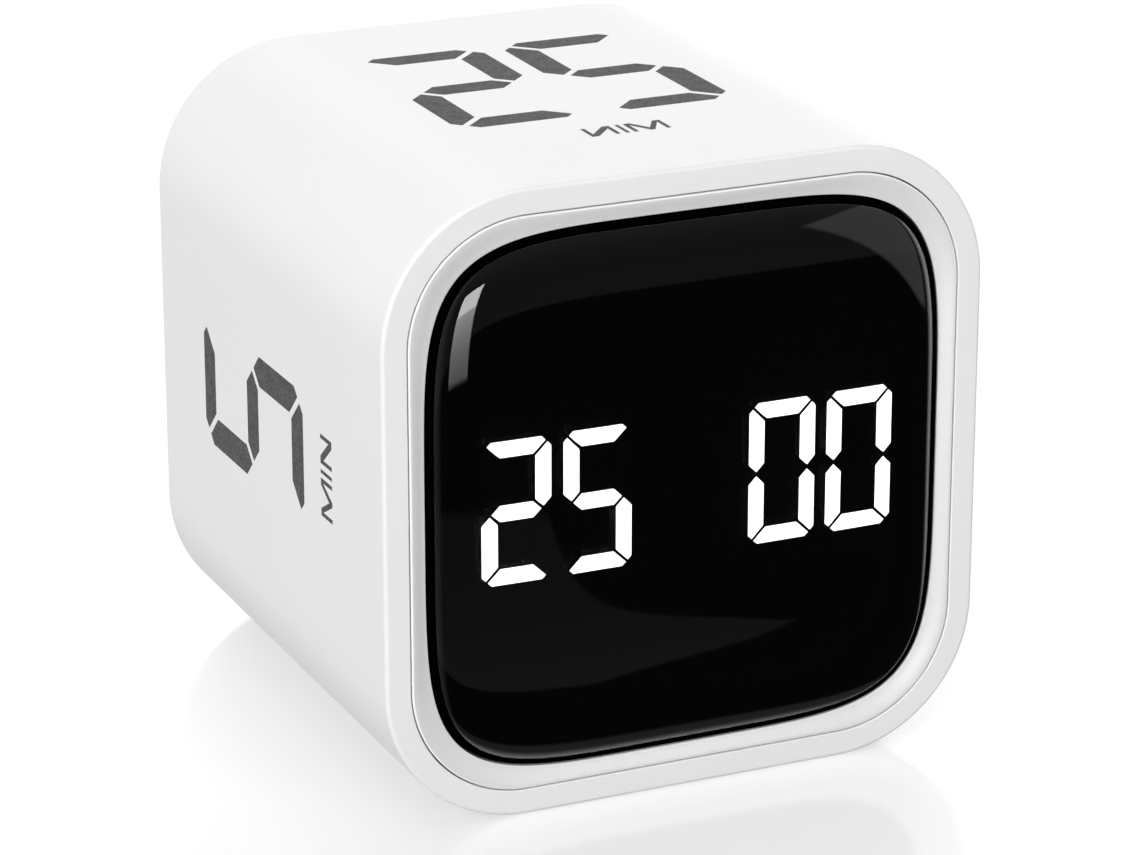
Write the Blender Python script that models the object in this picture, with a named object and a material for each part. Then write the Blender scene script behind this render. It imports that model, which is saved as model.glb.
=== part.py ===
"""A flip-to-start kitchen timer: a white cube with a domed smoked window over four lit digits.

Metres, +Z up, front towards -Y. The origin is under the middle of the cube, on the surface it stands on.
Depths in names that end in _IN are counted from the front rim towards the back.
"""

from math import cos, pi, sin, sqrt

import bmesh
import bpy
from mathutils import Vector

# Overall form
BODY_SIDE = 0.0600  # width and height of the sleeve
BODY_DEPTH = 0.0586  # rim to rim
BODY_RADIUS = 0.0140  # the four long edges
LENS_RISE = 0.0014  # how far the window stands proud of the front rim
WALL = 0.00245
GAP = 0.0003  # between pieces that touch on the real timer
SEAM = 0.0002  # the fine line round the front bezel
OVERRUN = 0.0020  # how far a cutter runs past the face that it cuts
MELD = 0.0004  # how far a boss or a rib runs into the wall that carries it

# Main shell
RIM_FILLET = 0.00035
LEDGE_WIDTH = 0.00215  # the inner flange that the front stack seats on
LEDGE_THICK = 0.0015
COVER_BOSS_RADIUS = 0.0030
COVER_BOSS_LENGTH = 0.0120
COVER_BOSS_INSET = 0.00755  # from the bore's flat sides
COVER_RIB_THICK = 0.0016
COVER_RIB_DROP = 0.0027  # how far the rib stays below the boss's top

# Front bezel
BEZEL_WIDTH = 0.00148  # from the seam to the window, at the middle of a side
BEZEL_THICK = 0.0020
BEZEL_EDGE = 0.00022
BEZEL_LAND = 0.00020
BEZEL_DISH = 0.00035
BEZEL_LIP = 0.00008

# The window's outline is a superellipse
LENS_POWER = 4.9

# Lens frame
BAND_DROP = 0.0003  # the black band lies this far behind the rim
BAND_GAP = 0.0002
BAND_WIDTH = 0.00068
POCKET_IN = 0.0017
FRAME_FLANGE = 0.0015
FRAME_LEDGE = 0.00427  # from the window's outline in to the frame's opening
FRAME_BOSS_RADIUS = 0.0020
FRAME_BOSS_INSET = 0.00775  # from the bore's flat sides
FRAME_BOSS_LENGTH = 0.0027

# Front lens
LENS_SEAM = 0.0001
LENS_EDGE_IN = 0.0001  # the lens's edge starts this far behind the rim
LENS_THICK = 0.0012
LENS_RIM_WIDTH = 0.00345
LENS_DRAFT = 0.0003
DOME_POWER = 5.0
DOME_ROUND = 1.7
DOME_SHARES = (1.0, 0.992, 0.972, 0.93, 0.86, 0.74, 0.56, 0.30)  # of the way out from the centre

# Digits
DIGIT_WIDTH = 0.0068
DIGIT_HEIGHT = 0.01376
SEGMENT_THICK = 0.0016
SEGMENT_CHAMFER = 0.00092
SEGMENT_GAP = 0.00025
DIGIT_PITCH = 0.00795
DIGIT_MARGIN = 0.0005  # from the outer digits to the mask's edge
BAR_CLEARANCE = 0.00005

# Display stack, front to back
MASK_THICK = 0.0008
MASK_MARGIN = 0.00045
MASK_AIR = 0.0002  # between the lens and the mask
WEB_THICK = 0.0006
WEB_MARGIN = 0.0004
REFLECTOR_DEPTH = 0.0045
REFLECTOR_MARGIN = 0.0006
REFLECTOR_RADIUS = 0.0012
CUP_SHARE = 0.72  # a light cup's size at its back, of its size at the front
CHIP_WIDTH = 0.0012
CHIP_LENGTH = 0.0016
CHIP_HEIGHT = 0.0006

# Boards
BOARD_CLEARANCE = 0.0004  # the display board passes the ledge with this to spare
DISPLAY_BOARD_THICK = 0.0012
MAIN_BOARD_SIDE = 0.00455  # from the main board to the bore, left and right
BOSS_CLEARANCE = 0.0010  # from the main board to the corner bosses, above and below
MAIN_BOARD_THICK = 0.0016
MAIN_BOARD_RADIUS = 0.0015
BOARD_POST_RADIUS = 0.0022
BOARD_POST_INSET = 0.0027

# Screws
SMALL_SHANK = 0.0007
SMALL_HOLE = 0.0010
SMALL_HEAD = 0.0016
SMALL_HEAD_THICK = 0.0012
SMALL_BITE = 0.0030
COVER_SHANK = 0.0009
COVER_HOLE = 0.0012
COVER_HEAD = 0.0021
COVER_HEAD_THICK = 0.0010
COVER_BITE = 0.0070
COUNTERBORE = 0.0025
COUNTERBORE_DEPTH = 0.0013
HOLE_SPARE = 0.0010  # a screw hole runs this much deeper than its screw

# Back cover
COVER_RECESS = 0.0020
COVER_THICK = 0.0020
COVER_EDGE = 0.0003
SKIRT_THICK = 0.0012
SKIRT_DEPTH = 0.0025
SKIRT_OFFSET = 0.0004

# Keys
KEY_RADIUS = 0.0040
KEY_RISE = 0.0012
KEY_CROWN = 0.0003
KEY_INSET = 0.0100  # from the outer keys to the main board's side
KEY_DROP = 0.0110  # from the row of keys to the cover screws above it
KEY_FLANGE = 0.0008
KEY_FLANGE_WIDTH = 0.0010
KEY_TRAVEL = 0.0004
SWITCH_SIDE = 0.0060
SWITCH_HEIGHT = 0.0031
PLUNGER_RADIUS = 0.0016
PLUNGER_DEPTH = 0.0012  # how deep the plunger sits in its switch

# Slide switch
LOWER_LIFT = 0.0140  # from the cover screws up to the row of slide switch, buzzer and socket
SLIDE_INSET = 0.0095  # from the main board's side
SLIDE_TRAVEL = 0.0040
SLIDE_RISE = 0.0014
KNOB_WIDTH = 0.0040
KNOB_HEIGHT = 0.0030
KNOB_FLANGE = 0.0008
KNOB_FLANGE_WIDTH = 0.0135
KNOB_FLANGE_HEIGHT = 0.0056
LEVER_SIDE = 0.0018
LEVER_DEPTH = 0.0016  # how deep the lever sits in its switch
LEVER_REACH = 0.0013  # how far it enters the knob
SLIDER_WIDTH = 0.0120
SLIDER_HEIGHT = 0.0060

# Charging socket
SOCKET_INSET = 0.0095  # from the main board's side
SOCKET_WIDTH = 0.00894
SOCKET_HEIGHT = 0.00326
SOCKET_WALL = 0.0003
SOCKET_SETBACK = 0.0004
SOCKET_FLOOR = 0.0005
TONGUE_WIDTH = 0.0067
TONGUE_THICK = 0.0007
TONGUE_SETBACK = 0.0009

# Buzzer
BUZZER_RADIUS = 0.0045
BUZZER_HOLE = 0.0008
BUZZER_HOLE_DEPTH = 0.0015
GASKET_THICK = 0.0010
GASKET_WIDTH = 0.0009
GRILLE_HOLE = 0.00065
GRILLE_CIRCLE = 0.0025
GRILLE_COUNT = 6

# Battery and what is on the inner side of the main board
BATTERY_WIDTH = 0.0300
BATTERY_HEIGHT = 0.0200
BATTERY_THICK = 0.0080
BATTERY_RADIUS = 0.0018
PAD_THICK = 0.0010
PAD_INSET = 0.0015
LEAD_RADIUS = 0.00045
LEAD_SPACING = 0.0020
LEAD_INSET = 0.0080  # where the leads leave the cell, from its side
LEAD_BULGE = 0.0040
PLUG_INSET = 0.0070  # from the cell's other side
PLUG_OFFSET = 0.0031  # above the cell
PLUG_WIDTH = 0.0046
PLUG_HEIGHT = 0.0026
PLUG_WALL = 0.0006
PLUG_DEPTH = 0.0042
BATTERY_SOCKET_DEPTH = 0.0036
BATTERY_SOCKET_FLOOR = 0.0010
RIBBON_WIDTH = 0.0080
RIBBON_THICK = 0.0006
RIBBON_OFFSET = 0.0032  # below the cell
RIBBON_SAG = 0.0035
RIBBON_SOCKET_MARGIN = 0.0012
RIBBON_SOCKET_HEIGHT = 0.0036
RIBBON_SOCKET_DEPTH = 0.0024
RIBBON_BITE = 0.0012
CHIP_PACKAGE_THICK = 0.0012
CONTROLLER_SIDE = 0.0050
TILT_SENSOR_WIDTH = 0.0042
TILT_SENSOR_HEIGHT = 0.0034
CHARGER_WIDTH = 0.0034
CHARGER_HEIGHT = 0.0030
SIDE_CHIP_OFFSET = 0.0042  # beside the cell
CHARGER_ROW = -0.0050
TILT_SENSOR_ROW = 0.0050

# Steps of round shapes
SMOOTH_ANGLE = pi / 6
CORNER_STEPS = 12  # points on each quarter of an outline, counting its middle
ROUND_STEPS = 20
SMALL_STEPS = 10
LEAD_POINTS = 18
RIBBON_POINTS = 13

# Where things lie, worked out from the sizes above
MIDDLE = BODY_SIDE / 2
FRONT = -(BODY_DEPTH + LENS_RISE) / 2 + LENS_RISE
BACK = FRONT + BODY_DEPTH
BORE_HALF = BODY_SIDE / 2 - WALL
BORE_RADIUS = BODY_RADIUS - WALL
BEZEL_HALF = BORE_HALF - SEAM
BEZEL_RADIUS = BORE_RADIUS - SEAM
LENS_HALF = BEZEL_HALF - BEZEL_WIDTH
WINDOW_HALF = LENS_HALF - FRAME_LEDGE
MASK_HALF = WINDOW_HALF - MASK_MARGIN
FRAME_BOSS_PLACE = BORE_HALF - FRAME_BOSS_INSET
COVER_BOSS_PLACE = BORE_HALF - COVER_BOSS_INSET
DISPLAY_BOARD_HALF = BORE_HALF - LEDGE_WIDTH - BOARD_CLEARANCE
DISPLAY_BOARD_RADIUS = BORE_RADIUS - LEDGE_WIDTH - BOARD_CLEARANCE
MAIN_BOARD_WIDTH = (BORE_HALF - MAIN_BOARD_SIDE) * 2
MAIN_BOARD_HEIGHT = (COVER_BOSS_PLACE - COVER_BOSS_RADIUS - BOSS_CLEARANCE) * 2
FRAME_HALF = BORE_HALF - GAP
FRAME_RADIUS = BORE_RADIUS - GAP
FLANGE_IN = BEZEL_THICK + GAP
LEDGE_IN = FLANGE_IN + FRAME_FLANGE + GAP
LENS_INSET = BAND_WIDTH + LENS_SEAM
LENS_BACK_IN = POCKET_IN - GAP
MASK_IN = LENS_THICK - LENS_RISE + MASK_AIR
WEB_IN = MASK_IN + MASK_THICK + GAP
REFLECTOR_IN = WEB_IN + WEB_THICK + GAP
DISPLAY_BOARD_IN = REFLECTOR_IN + REFLECTOR_DEPTH + GAP
DISPLAY_BOARD_BACK_IN = DISPLAY_BOARD_IN + DISPLAY_BOARD_THICK
COVER_OUTER = BACK - COVER_RECESS
COVER_INNER = COVER_OUTER - COVER_THICK
COVER_BOSS_TOP = COVER_INNER - GAP
KEY_FLANGE_TOP = COVER_INNER - GAP
KEY_BOTTOM = KEY_FLANGE_TOP - KEY_FLANGE
SWITCH_TOP = KEY_BOTTOM - GAP - KEY_TRAVEL - GAP
BOARD_BACK = SWITCH_TOP - SWITCH_HEIGHT - GAP
BOARD_FRONT = BOARD_BACK - MAIN_BOARD_THICK
PART_BASE = BOARD_BACK + GAP  # what stands on the board's outer side starts here
INNER_BASE = BOARD_FRONT - GAP  # what stands on its inner side starts here
PLUNGER_TOP = KEY_BOTTOM - GAP
KEY_PITCH = MAIN_BOARD_WIDTH / 2 - KEY_INSET
KEY_PLACES = (-KEY_PITCH, 0, KEY_PITCH)
KEY_ROW = COVER_BOSS_PLACE - KEY_DROP
LOWER_ROW = LOWER_LIFT - COVER_BOSS_PLACE
SLIDE_PLACE = SLIDE_INSET - MAIN_BOARD_WIDTH / 2
SOCKET_PLACE = MAIN_BOARD_WIDTH / 2 - SOCKET_INSET
PLUG_PLACE = BATTERY_WIDTH / 2 - PLUG_INSET
PLUG_ROW = BATTERY_HEIGHT / 2 + PLUG_OFFSET
LEAD_PLACE = LEAD_INSET - BATTERY_WIDTH / 2
RIBBON_ROW = -BATTERY_HEIGHT / 2 - RIBBON_OFFSET
SIDE_CHIP_PLACE = BATTERY_WIDTH / 2 + SIDE_CHIP_OFFSET
POST_X = MAIN_BOARD_WIDTH / 2 - BOARD_POST_INSET
POST_Z = MAIN_BOARD_HEIGHT / 2 - BOARD_POST_INSET
CORNERS = ((-1, 1), (1, 1), (-1, -1), (1, -1))
PAIR_OFFSET = MASK_HALF - DIGIT_MARGIN - (DIGIT_WIDTH + DIGIT_PITCH) / 2
DIGIT_PLACES = (
    -PAIR_OFFSET - DIGIT_PITCH / 2,
    -PAIR_OFFSET + DIGIT_PITCH / 2,
    PAIR_OFFSET - DIGIT_PITCH / 2,
    PAIR_OFFSET + DIGIT_PITCH / 2,
)


# Outlines in the X-Z plane, about the middle of the cube

def rounded_square(half, radius):
    """Points from the middle of the right side, anticlockwise, with as many as window_outline has."""
    quarter = [(half, 0)]
    for step in range(CORNER_STEPS - 1):
        angle = pi / 2 * step / (CORNER_STEPS - 2)
        quarter.append((half - radius + radius * cos(angle), half - radius + radius * sin(angle)))
    return all_round(quarter)


def all_round(quarter):
    """A quarter of an outline, turned to the other three."""
    points = list(quarter)
    for turn in range(3):
        quarter = [(-z, x) for x, z in quarter]
        points += quarter
    return points


def window_outline(inset):
    """The window's superellipse, moved inwards square to itself."""
    quarter = []
    for step in range(CORNER_STEPS):
        angle = pi / 2 * step / CORNER_STEPS
        x, z = cos(angle) ** (2 / LENS_POWER), sin(angle) ** (2 / LENS_POWER)
        out = Vector((x ** (LENS_POWER - 1), z ** (LENS_POWER - 1))).normalized()
        quarter.append((LENS_HALF * x - inset * out.x, LENS_HALF * z - inset * out.y))
    return all_round(quarter)


def scaled(points, share):
    return [(x * share, z * share) for x, z in points]


def window_scaled(half):
    """The window's superellipse, drawn smaller."""
    return scaled(window_outline(0), half / LENS_HALF)


def circle(radius, steps=ROUND_STEPS):
    return [(radius * cos(2 * pi * k / steps), radius * sin(2 * pi * k / steps)) for k in range(steps)]


def rounded_box(width, height, radius, steps=4):
    """A rectangle with round corners."""
    points = []
    for quadrant, (sx, sz) in enumerate(((1, 1), (-1, 1), (-1, -1), (1, -1))):
        for step in range(steps + 1):
            angle = pi / 2 * (quadrant + step / steps)
            x = sx * (width / 2 - radius) + radius * cos(angle)
            z = sz * (height / 2 - radius) + radius * sin(angle)
            points.append((x, z))
    return points


def box(width, height):
    return [(sx * width / 2, sz * height / 2) for sx, sz in ((1, 1), (-1, 1), (-1, -1), (1, -1))]


def moved(points, x, z):
    return [(px + x, pz + z) for px, pz in points]


# Meshes

def ring_of(mesh, outline, y):
    return [mesh.verts.new((x, y, z)) for x, z in outline]


def bridge(mesh, first, second):
    for k in range(len(first)):
        following = (k + 1) % len(first)
        mesh.faces.new((first[k], first[following], second[following], second[k]))


def add_loft(mesh, sections):
    """A solid through outlines at their depths, closed with a flat face at each end."""
    rings = [ring_of(mesh, outline, y) for outline, y in sections]
    for first, second in zip(rings, rings[1:]):
        bridge(mesh, first, second)
    mesh.faces.new(rings[0])
    mesh.faces.new(rings[-1])


def add_hoop(mesh, sections):
    """A frame: outlines at their depths, each joined to the next and the last to the first."""
    rings = [ring_of(mesh, outline, y) for outline, y in sections]
    for first, second in zip(rings, rings[1:] + rings[:1]):
        bridge(mesh, first, second)


def new_object(name, mesh, surface, place=(0, 0, MIDDLE)):
    """An object at its place, from a mesh that is drawn about that place."""
    bmesh.ops.recalc_face_normals(mesh, faces=mesh.faces)
    data = bpy.data.meshes.new(name)
    mesh.to_mesh(data)
    mesh.free()
    data.shade_smooth()
    data.set_sharp_from_angle(angle=SMOOTH_ANGLE)
    obj = bpy.data.objects.new(name, data)
    obj.location = place
    bpy.context.scene.collection.objects.link(obj)
    if surface:
        data.materials.append(surface)
    return obj


def loft_object(name, sections, surface, place=(0, 0, MIDDLE)):
    mesh = bmesh.new()
    add_loft(mesh, sections)
    return new_object(name, mesh, surface, place)


def hoop_object(name, sections, surface):
    mesh = bmesh.new()
    add_hoop(mesh, sections)
    return new_object(name, mesh, surface)


def tool(name, solids, place=(0, 0, MIDDLE)):
    """A hidden helper that holds several lofts, for a Boolean."""
    mesh = bmesh.new()
    for sections in solids:
        add_loft(mesh, sections)
    helper = new_object(name, mesh, None, place)
    helper.hide_render = True
    helper.display_type = "WIRE"
    return helper


def boolean(obj, helper, operation):
    modifier = obj.modifiers.new(helper.name, "BOOLEAN")
    modifier.object = helper
    modifier.operation = operation
    modifier.solver = "EXACT"


def cut(obj, solids, place=(0, 0, MIDDLE)):
    boolean(obj, tool(obj.name + "_cutter", solids, place), "DIFFERENCE")


def join(obj, solids, place=(0, 0, MIDDLE)):
    boolean(obj, tool(obj.name + "_addition", solids, place), "UNION")


def prism(outline, start, end):
    return [(outline, start), (outline, end)]


def finish(name, colour, roughness, metallic=0.0):
    surface = bpy.data.materials.new(name)
    surface.use_nodes = True
    shader = surface.node_tree.nodes["Principled BSDF"]
    shader.inputs["Base Color"].default_value = (*colour, 1.0)
    shader.inputs["Roughness"].default_value = roughness
    shader.inputs["Metallic"].default_value = metallic
    surface.diffuse_color = (*colour, 1.0)
    return surface


# Finishes, in linear colour

def white_plastic():
    return finish("white_plastic", (0.86, 0.86, 0.86), 0.45)


def satin_silver():
    return finish("satin_silver", (0.80, 0.80, 0.81), 0.38, 0.2)


def black_plastic():
    return finish("black_plastic", (0.008, 0.008, 0.008), 0.35)


def smoked_window():
    return finish("smoked_window", (0.006, 0.006, 0.007), 0.05)


def lit_segment():
    return finish("lit_segment", (0.95, 0.95, 0.95), 0.5)


def white_reflector():
    return finish("white_reflector", (0.80, 0.80, 0.80), 0.5)


def circuit_board():
    return finish("circuit_board", (0.02, 0.12, 0.05), 0.5)


def steel():
    return finish("steel", (0.62, 0.62, 0.63), 0.3, 1.0)


def grey_plastic():
    return finish("grey_plastic", (0.35, 0.35, 0.36), 0.5)


def black_package():
    return finish("black_package", (0.015, 0.015, 0.016), 0.6)


def black_foam():
    return finish("black_foam", (0.02, 0.02, 0.02), 0.95)


def silver_pouch():
    return finish("silver_pouch", (0.70, 0.70, 0.72), 0.35, 0.9)


def cream_plastic():
    return finish("cream_plastic", (0.75, 0.70, 0.60), 0.5)


def red_lead():
    return finish("red_lead", (0.55, 0.02, 0.02), 0.5)


def black_lead():
    return finish("black_lead", (0.02, 0.02, 0.02), 0.5)


# Housing

def main_shell():
    """The square sleeve, open at both ends, with a ledge for the front and bosses for the back cover."""
    outer = lambda inset: rounded_square(BODY_SIDE / 2 - inset, BODY_RADIUS - inset)
    quarter_turn = RIM_FILLET * (1 - sqrt(0.5))
    ledge_front, ledge_back = FRONT + LEDGE_IN, FRONT + LEDGE_IN + LEDGE_THICK
    shell = hoop_object("main_shell", [
        (outer(RIM_FILLET), FRONT),
        (outer(quarter_turn), FRONT + quarter_turn),
        (outer(0), FRONT + RIM_FILLET),
        (outer(0), BACK - RIM_FILLET),
        (outer(quarter_turn), BACK - quarter_turn),
        (outer(RIM_FILLET), BACK),
        (outer(WALL), BACK),
        (outer(WALL), ledge_back),
        (outer(WALL + LEDGE_WIDTH), ledge_back),
        (outer(WALL + LEDGE_WIDTH), ledge_front),
        (outer(WALL), ledge_front),
        (outer(WALL), FRONT),
    ], white_plastic())
    bottom = COVER_BOSS_TOP - COVER_BOSS_LENGTH
    bosses, ribs, holes = [], [], []
    for sx, sz in CORNERS:
        x, z = sx * COVER_BOSS_PLACE, sz * COVER_BOSS_PLACE
        bosses.append(prism(moved(circle(COVER_BOSS_RADIUS), x, z), bottom, COVER_BOSS_TOP))
        ribs.append(prism(corner_rib(sx, sz), bottom, COVER_BOSS_TOP - COVER_RIB_DROP))
        deep = COVER_INNER - COVER_BITE - HOLE_SPARE
        holes.append(prism(moved(circle(COVER_HOLE, SMALL_STEPS), x, z), deep, COVER_BOSS_TOP + OVERRUN))
    boolean(shell, tool("main_shell_bosses", bosses), "UNION")
    boolean(shell, tool("main_shell_ribs", ribs), "UNION")
    cut(shell, holes)


def corner_rib(sx, sz):
    """A web from a corner boss to the round corner of the wall, as an outline."""
    centre = BORE_HALF - BORE_RADIUS
    reach = centre + (BORE_RADIUS + MELD) / sqrt(2)
    side = COVER_RIB_THICK / 2 / sqrt(2)
    start = COVER_BOSS_PLACE
    points = [
        (start + side, start - side),
        (reach + side, reach - side),
        (reach - side, reach + side),
        (start - side, start + side),
    ]
    return [(sx * x, sz * z) for x, z in points]


def front_bezel():
    """The satin ring round the window: a fine bright edge, then a shallow dish down to the window."""
    outer = lambda inset: rounded_square(BEZEL_HALF - inset, BEZEL_RADIUS - inset)
    hoop_object("front_bezel", [
        (outer(0), FRONT + BEZEL_THICK),
        (outer(0), FRONT + BEZEL_EDGE),
        (outer(BEZEL_EDGE), FRONT),
        (outer(BEZEL_EDGE + BEZEL_LAND), FRONT),
        (window_outline(-BEZEL_LIP), FRONT + BEZEL_DISH),
        (window_outline(0), FRONT + BEZEL_DISH + BEZEL_LIP),
        (window_outline(0), FRONT + BEZEL_THICK),
    ], satin_silver())


def lens_frame():
    """The black carrier: its lip is the band round the lens, its flange lies under the bezel."""
    flange = rounded_square(FRAME_HALF, FRAME_RADIUS)
    back = FRONT + FLANGE_IN + FRAME_FLANGE
    frame = hoop_object("lens_frame", [
        (window_outline(BAND_GAP), FRONT + BAND_DROP),
        (window_outline(BAND_WIDTH), FRONT + BAND_DROP),
        (window_outline(BAND_WIDTH), FRONT + POCKET_IN),
        (window_scaled(WINDOW_HALF), FRONT + POCKET_IN),
        (window_scaled(WINDOW_HALF), back),
        (flange, back),
        (flange, FRONT + FLANGE_IN),
        (window_outline(BAND_GAP), FRONT + FLANGE_IN),
    ], black_plastic())
    top = FRONT + DISPLAY_BOARD_IN - GAP
    start = top - FRAME_BOSS_LENGTH - MELD
    corners = [(sx * FRAME_BOSS_PLACE, sz * FRAME_BOSS_PLACE) for sx, sz in CORNERS]
    join(frame, [prism(moved(circle(FRAME_BOSS_RADIUS), x, z), start, top) for x, z in corners])
    deep = top - SMALL_BITE - GAP
    cut(frame, [prism(moved(circle(SMALL_HOLE, SMALL_STEPS), x, z), deep, top + OVERRUN) for x, z in corners])


def dome_depth(share):
    """How far behind the rim the lens's face lies, at a share of the way out from its centre."""
    rise = (LENS_RISE + LENS_EDGE_IN) * (1 - share ** DOME_POWER) ** (1 / DOME_ROUND)
    return LENS_EDGE_IN - rise


def front_lens():
    """The smoked window: a pillow-shaped face, a shallow pocket behind it and a rim that seats in the frame."""
    edge = window_outline(LENS_INSET)
    half = LENS_HALF - LENS_INSET
    pocket = (half - LENS_RIM_WIDTH) / half
    ceiling = (half - LENS_RIM_WIDTH - LENS_DRAFT) / half
    face = [(scaled(edge, share), FRONT + dome_depth(share)) for share in reversed(DOME_SHARES)]
    loft_object("front_lens", face + [
        (edge, FRONT + LENS_BACK_IN),
        (scaled(edge, pocket), FRONT + LENS_BACK_IN),
        (scaled(edge, ceiling), FRONT + LENS_THICK - LENS_RISE),
    ], smoked_window())


# Digits

def segments(shrink=0.0):
    """The seven bars of a digit, each an outline drawn in by shrink, with its centre."""
    a, b, t = DIGIT_WIDTH / 2, DIGIT_HEIGHT / 2, SEGMENT_THICK
    mitre = SEGMENT_GAP / sqrt(2)
    cut_off = SEGMENT_CHAMFER / 2
    top = [
        (a - t - mitre, b - t),
        (a - cut_off - mitre / 2, b - cut_off + mitre / 2),
        (a - cut_off * 2, b),
    ]
    top += [(-x, z) for x, z in reversed(top)]
    side = [
        (a, b - cut_off * 2),
        (a - cut_off + mitre / 2, b - cut_off - mitre / 2),
        (a - t, b - t - mitre),
        (a - t, mitre + t / 2),
        (a - t / 2, mitre),
        (a, mitre + t / 2),
    ]
    tip = a - t / 2 - mitre
    middle = [(tip, 0), (tip - t / 2, t / 2), (t / 2 - tip, t / 2), (-tip, 0), (t / 2 - tip, -t / 2), (tip - t / 2, -t / 2)]
    bars = [
        top,
        side,
        [(x, -z) for x, z in reversed(side)],
        [(x, -z) for x, z in reversed(top)],
        [(-x, -z) for x, z in side],
        [(-x, z) for x, z in reversed(side)],
        middle,
    ]
    return [(drawn_in(bar, shrink), centre_of(bar)) for bar in bars]


def centre_of(points):
    return (sum(x for x, z in points) / len(points), sum(z for x, z in points) / len(points))


def drawn_in(points, inset):
    """An anticlockwise outline with each side moved inwards by inset."""
    count = len(points)
    result = []
    for k in range(count):
        before, here, after = (Vector(points[(k + s) % count]) for s in (-1, 0, 1))
        first, second = (here - before).normalized(), (after - here).normalized()
        inward = Vector((-first.y - second.y, first.x + second.x))
        shift = inward * (inset / (1 + first.dot(second)))
        result.append((here.x + shift.x, here.y + shift.y))
    return result


def display_mask():
    """The black plate with a window for each bar of each digit."""
    start, end = FRONT + MASK_IN, FRONT + MASK_IN + MASK_THICK
    mask = loft_object("display_mask", prism(window_scaled(MASK_HALF), start, end), black_plastic())
    windows = []
    for place in DIGIT_PLACES:
        windows += [prism(moved(bar, place, 0), start - OVERRUN, end + OVERRUN) for bar, centre in segments()]
    cut(mask, windows)


def digit_guides():
    """One clear-white light guide for each digit: a thin web with seven bars that fill the mask's windows."""
    names = ("minute_tens_digit", "minute_units_digit", "second_tens_digit", "second_units_digit")
    surface = lit_segment()
    start, end = FRONT + WEB_IN, FRONT + WEB_IN + WEB_THICK
    width = DIGIT_PITCH - GAP
    for name, place in zip(names, DIGIT_PLACES):
        web = prism(box(width, DIGIT_HEIGHT + WEB_MARGIN * 2), start, end)
        guide = loft_object(name, web, surface, (place, 0, MIDDLE))
        bars = [prism(bar, FRONT + MASK_IN, start + WEB_THICK / 2) for bar, centre in segments(BAR_CLEARANCE)]
        join(guide, bars, (place, 0, MIDDLE))


def reflector_size():
    width = (PAIR_OFFSET + DIGIT_PITCH) * 2 - GAP
    return width, DIGIT_HEIGHT + (WEB_MARGIN + REFLECTOR_MARGIN) * 2


def light_reflector():
    """The white block behind the guides, with a tapered cup from each light to its bar."""
    start, end = FRONT + REFLECTOR_IN, FRONT + REFLECTOR_IN + REFLECTOR_DEPTH
    outline = rounded_box(*reflector_size(), REFLECTOR_RADIUS)
    block = loft_object("light_reflector", prism(outline, start, end), white_reflector())
    cups = []
    for place in DIGIT_PLACES:
        for bar, (x, z) in segments(SEGMENT_GAP / 2):
            narrow = [(x + (px - x) * CUP_SHARE, z + (pz - z) * CUP_SHARE) for px, pz in bar]
            front, back = moved(bar, place, 0), moved(narrow, place, 0)
            cups.append([(front, start - OVERRUN), (front, start), (back, end), (back, end + OVERRUN)])
    cut(block, cups)


def display_board():
    """The front board, with one light under each cup and a screw at each corner."""
    front, back = FRONT + DISPLAY_BOARD_IN, FRONT + DISPLAY_BOARD_BACK_IN
    outline = rounded_square(DISPLAY_BOARD_HALF, DISPLAY_BOARD_RADIUS)
    board = loft_object("display_board", prism(outline, front, back), circuit_board())
    corners = [(sx * FRAME_BOSS_PLACE, sz * FRAME_BOSS_PLACE) for sx, sz in CORNERS]
    cut(board, [
        prism(moved(circle(SMALL_HOLE, SMALL_STEPS), x, z), front - OVERRUN, back + OVERRUN) for x, z in corners
    ])
    chips = []
    for place in DIGIT_PLACES:
        for index, (bar, (x, z)) in enumerate(segments()):
            upright = index in (1, 2, 4, 5)
            size = (CHIP_WIDTH, CHIP_LENGTH) if upright else (CHIP_LENGTH, CHIP_WIDTH)
            size = [side - SEGMENT_GAP * 2 for side in size]
            chips.append(prism(moved(box(*size), place + x, z), front - CHIP_HEIGHT, front + MELD))
    join(board, chips)
    for number, (x, z) in enumerate(corners, 1):
        small_screw(f"display_screw_{number}", (x, z), back + GAP, DISPLAY_BOARD_THICK, 1)


def small_screw(name, spot, seat, grip, side):
    """A pan-head screw that grips a board from seat, with its head on the +Y side where side is 1."""
    head = seat + side * SMALL_HEAD_THICK
    shoulder = seat + side * SMALL_HEAD_THICK / 2
    tip = seat - side * (SMALL_BITE + GAP + grip)
    x, z = spot
    loft_object(name, [
        (circle(SMALL_HEAD * 3 / 4, SMALL_STEPS), head),
        (circle(SMALL_HEAD, SMALL_STEPS), shoulder),
        (circle(SMALL_HEAD, SMALL_STEPS), seat),
        (circle(SMALL_SHANK, SMALL_STEPS), seat),
        (circle(SMALL_SHANK, SMALL_STEPS), tip + side * SMALL_SHANK),
        (circle(SMALL_SHANK / 2, SMALL_STEPS), tip),
    ], steel(), (x, 0, MIDDLE + z))


# Back cover and what stands on it

def cover_outline(inset):
    return rounded_square(BORE_HALF - GAP - inset, BORE_RADIUS - GAP - inset)


def stadium(width, height):
    """An outline with half-round ends."""
    return rounded_box(width, height, height / 2 - MELD / 4, SMALL_STEPS // 2)


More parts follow.
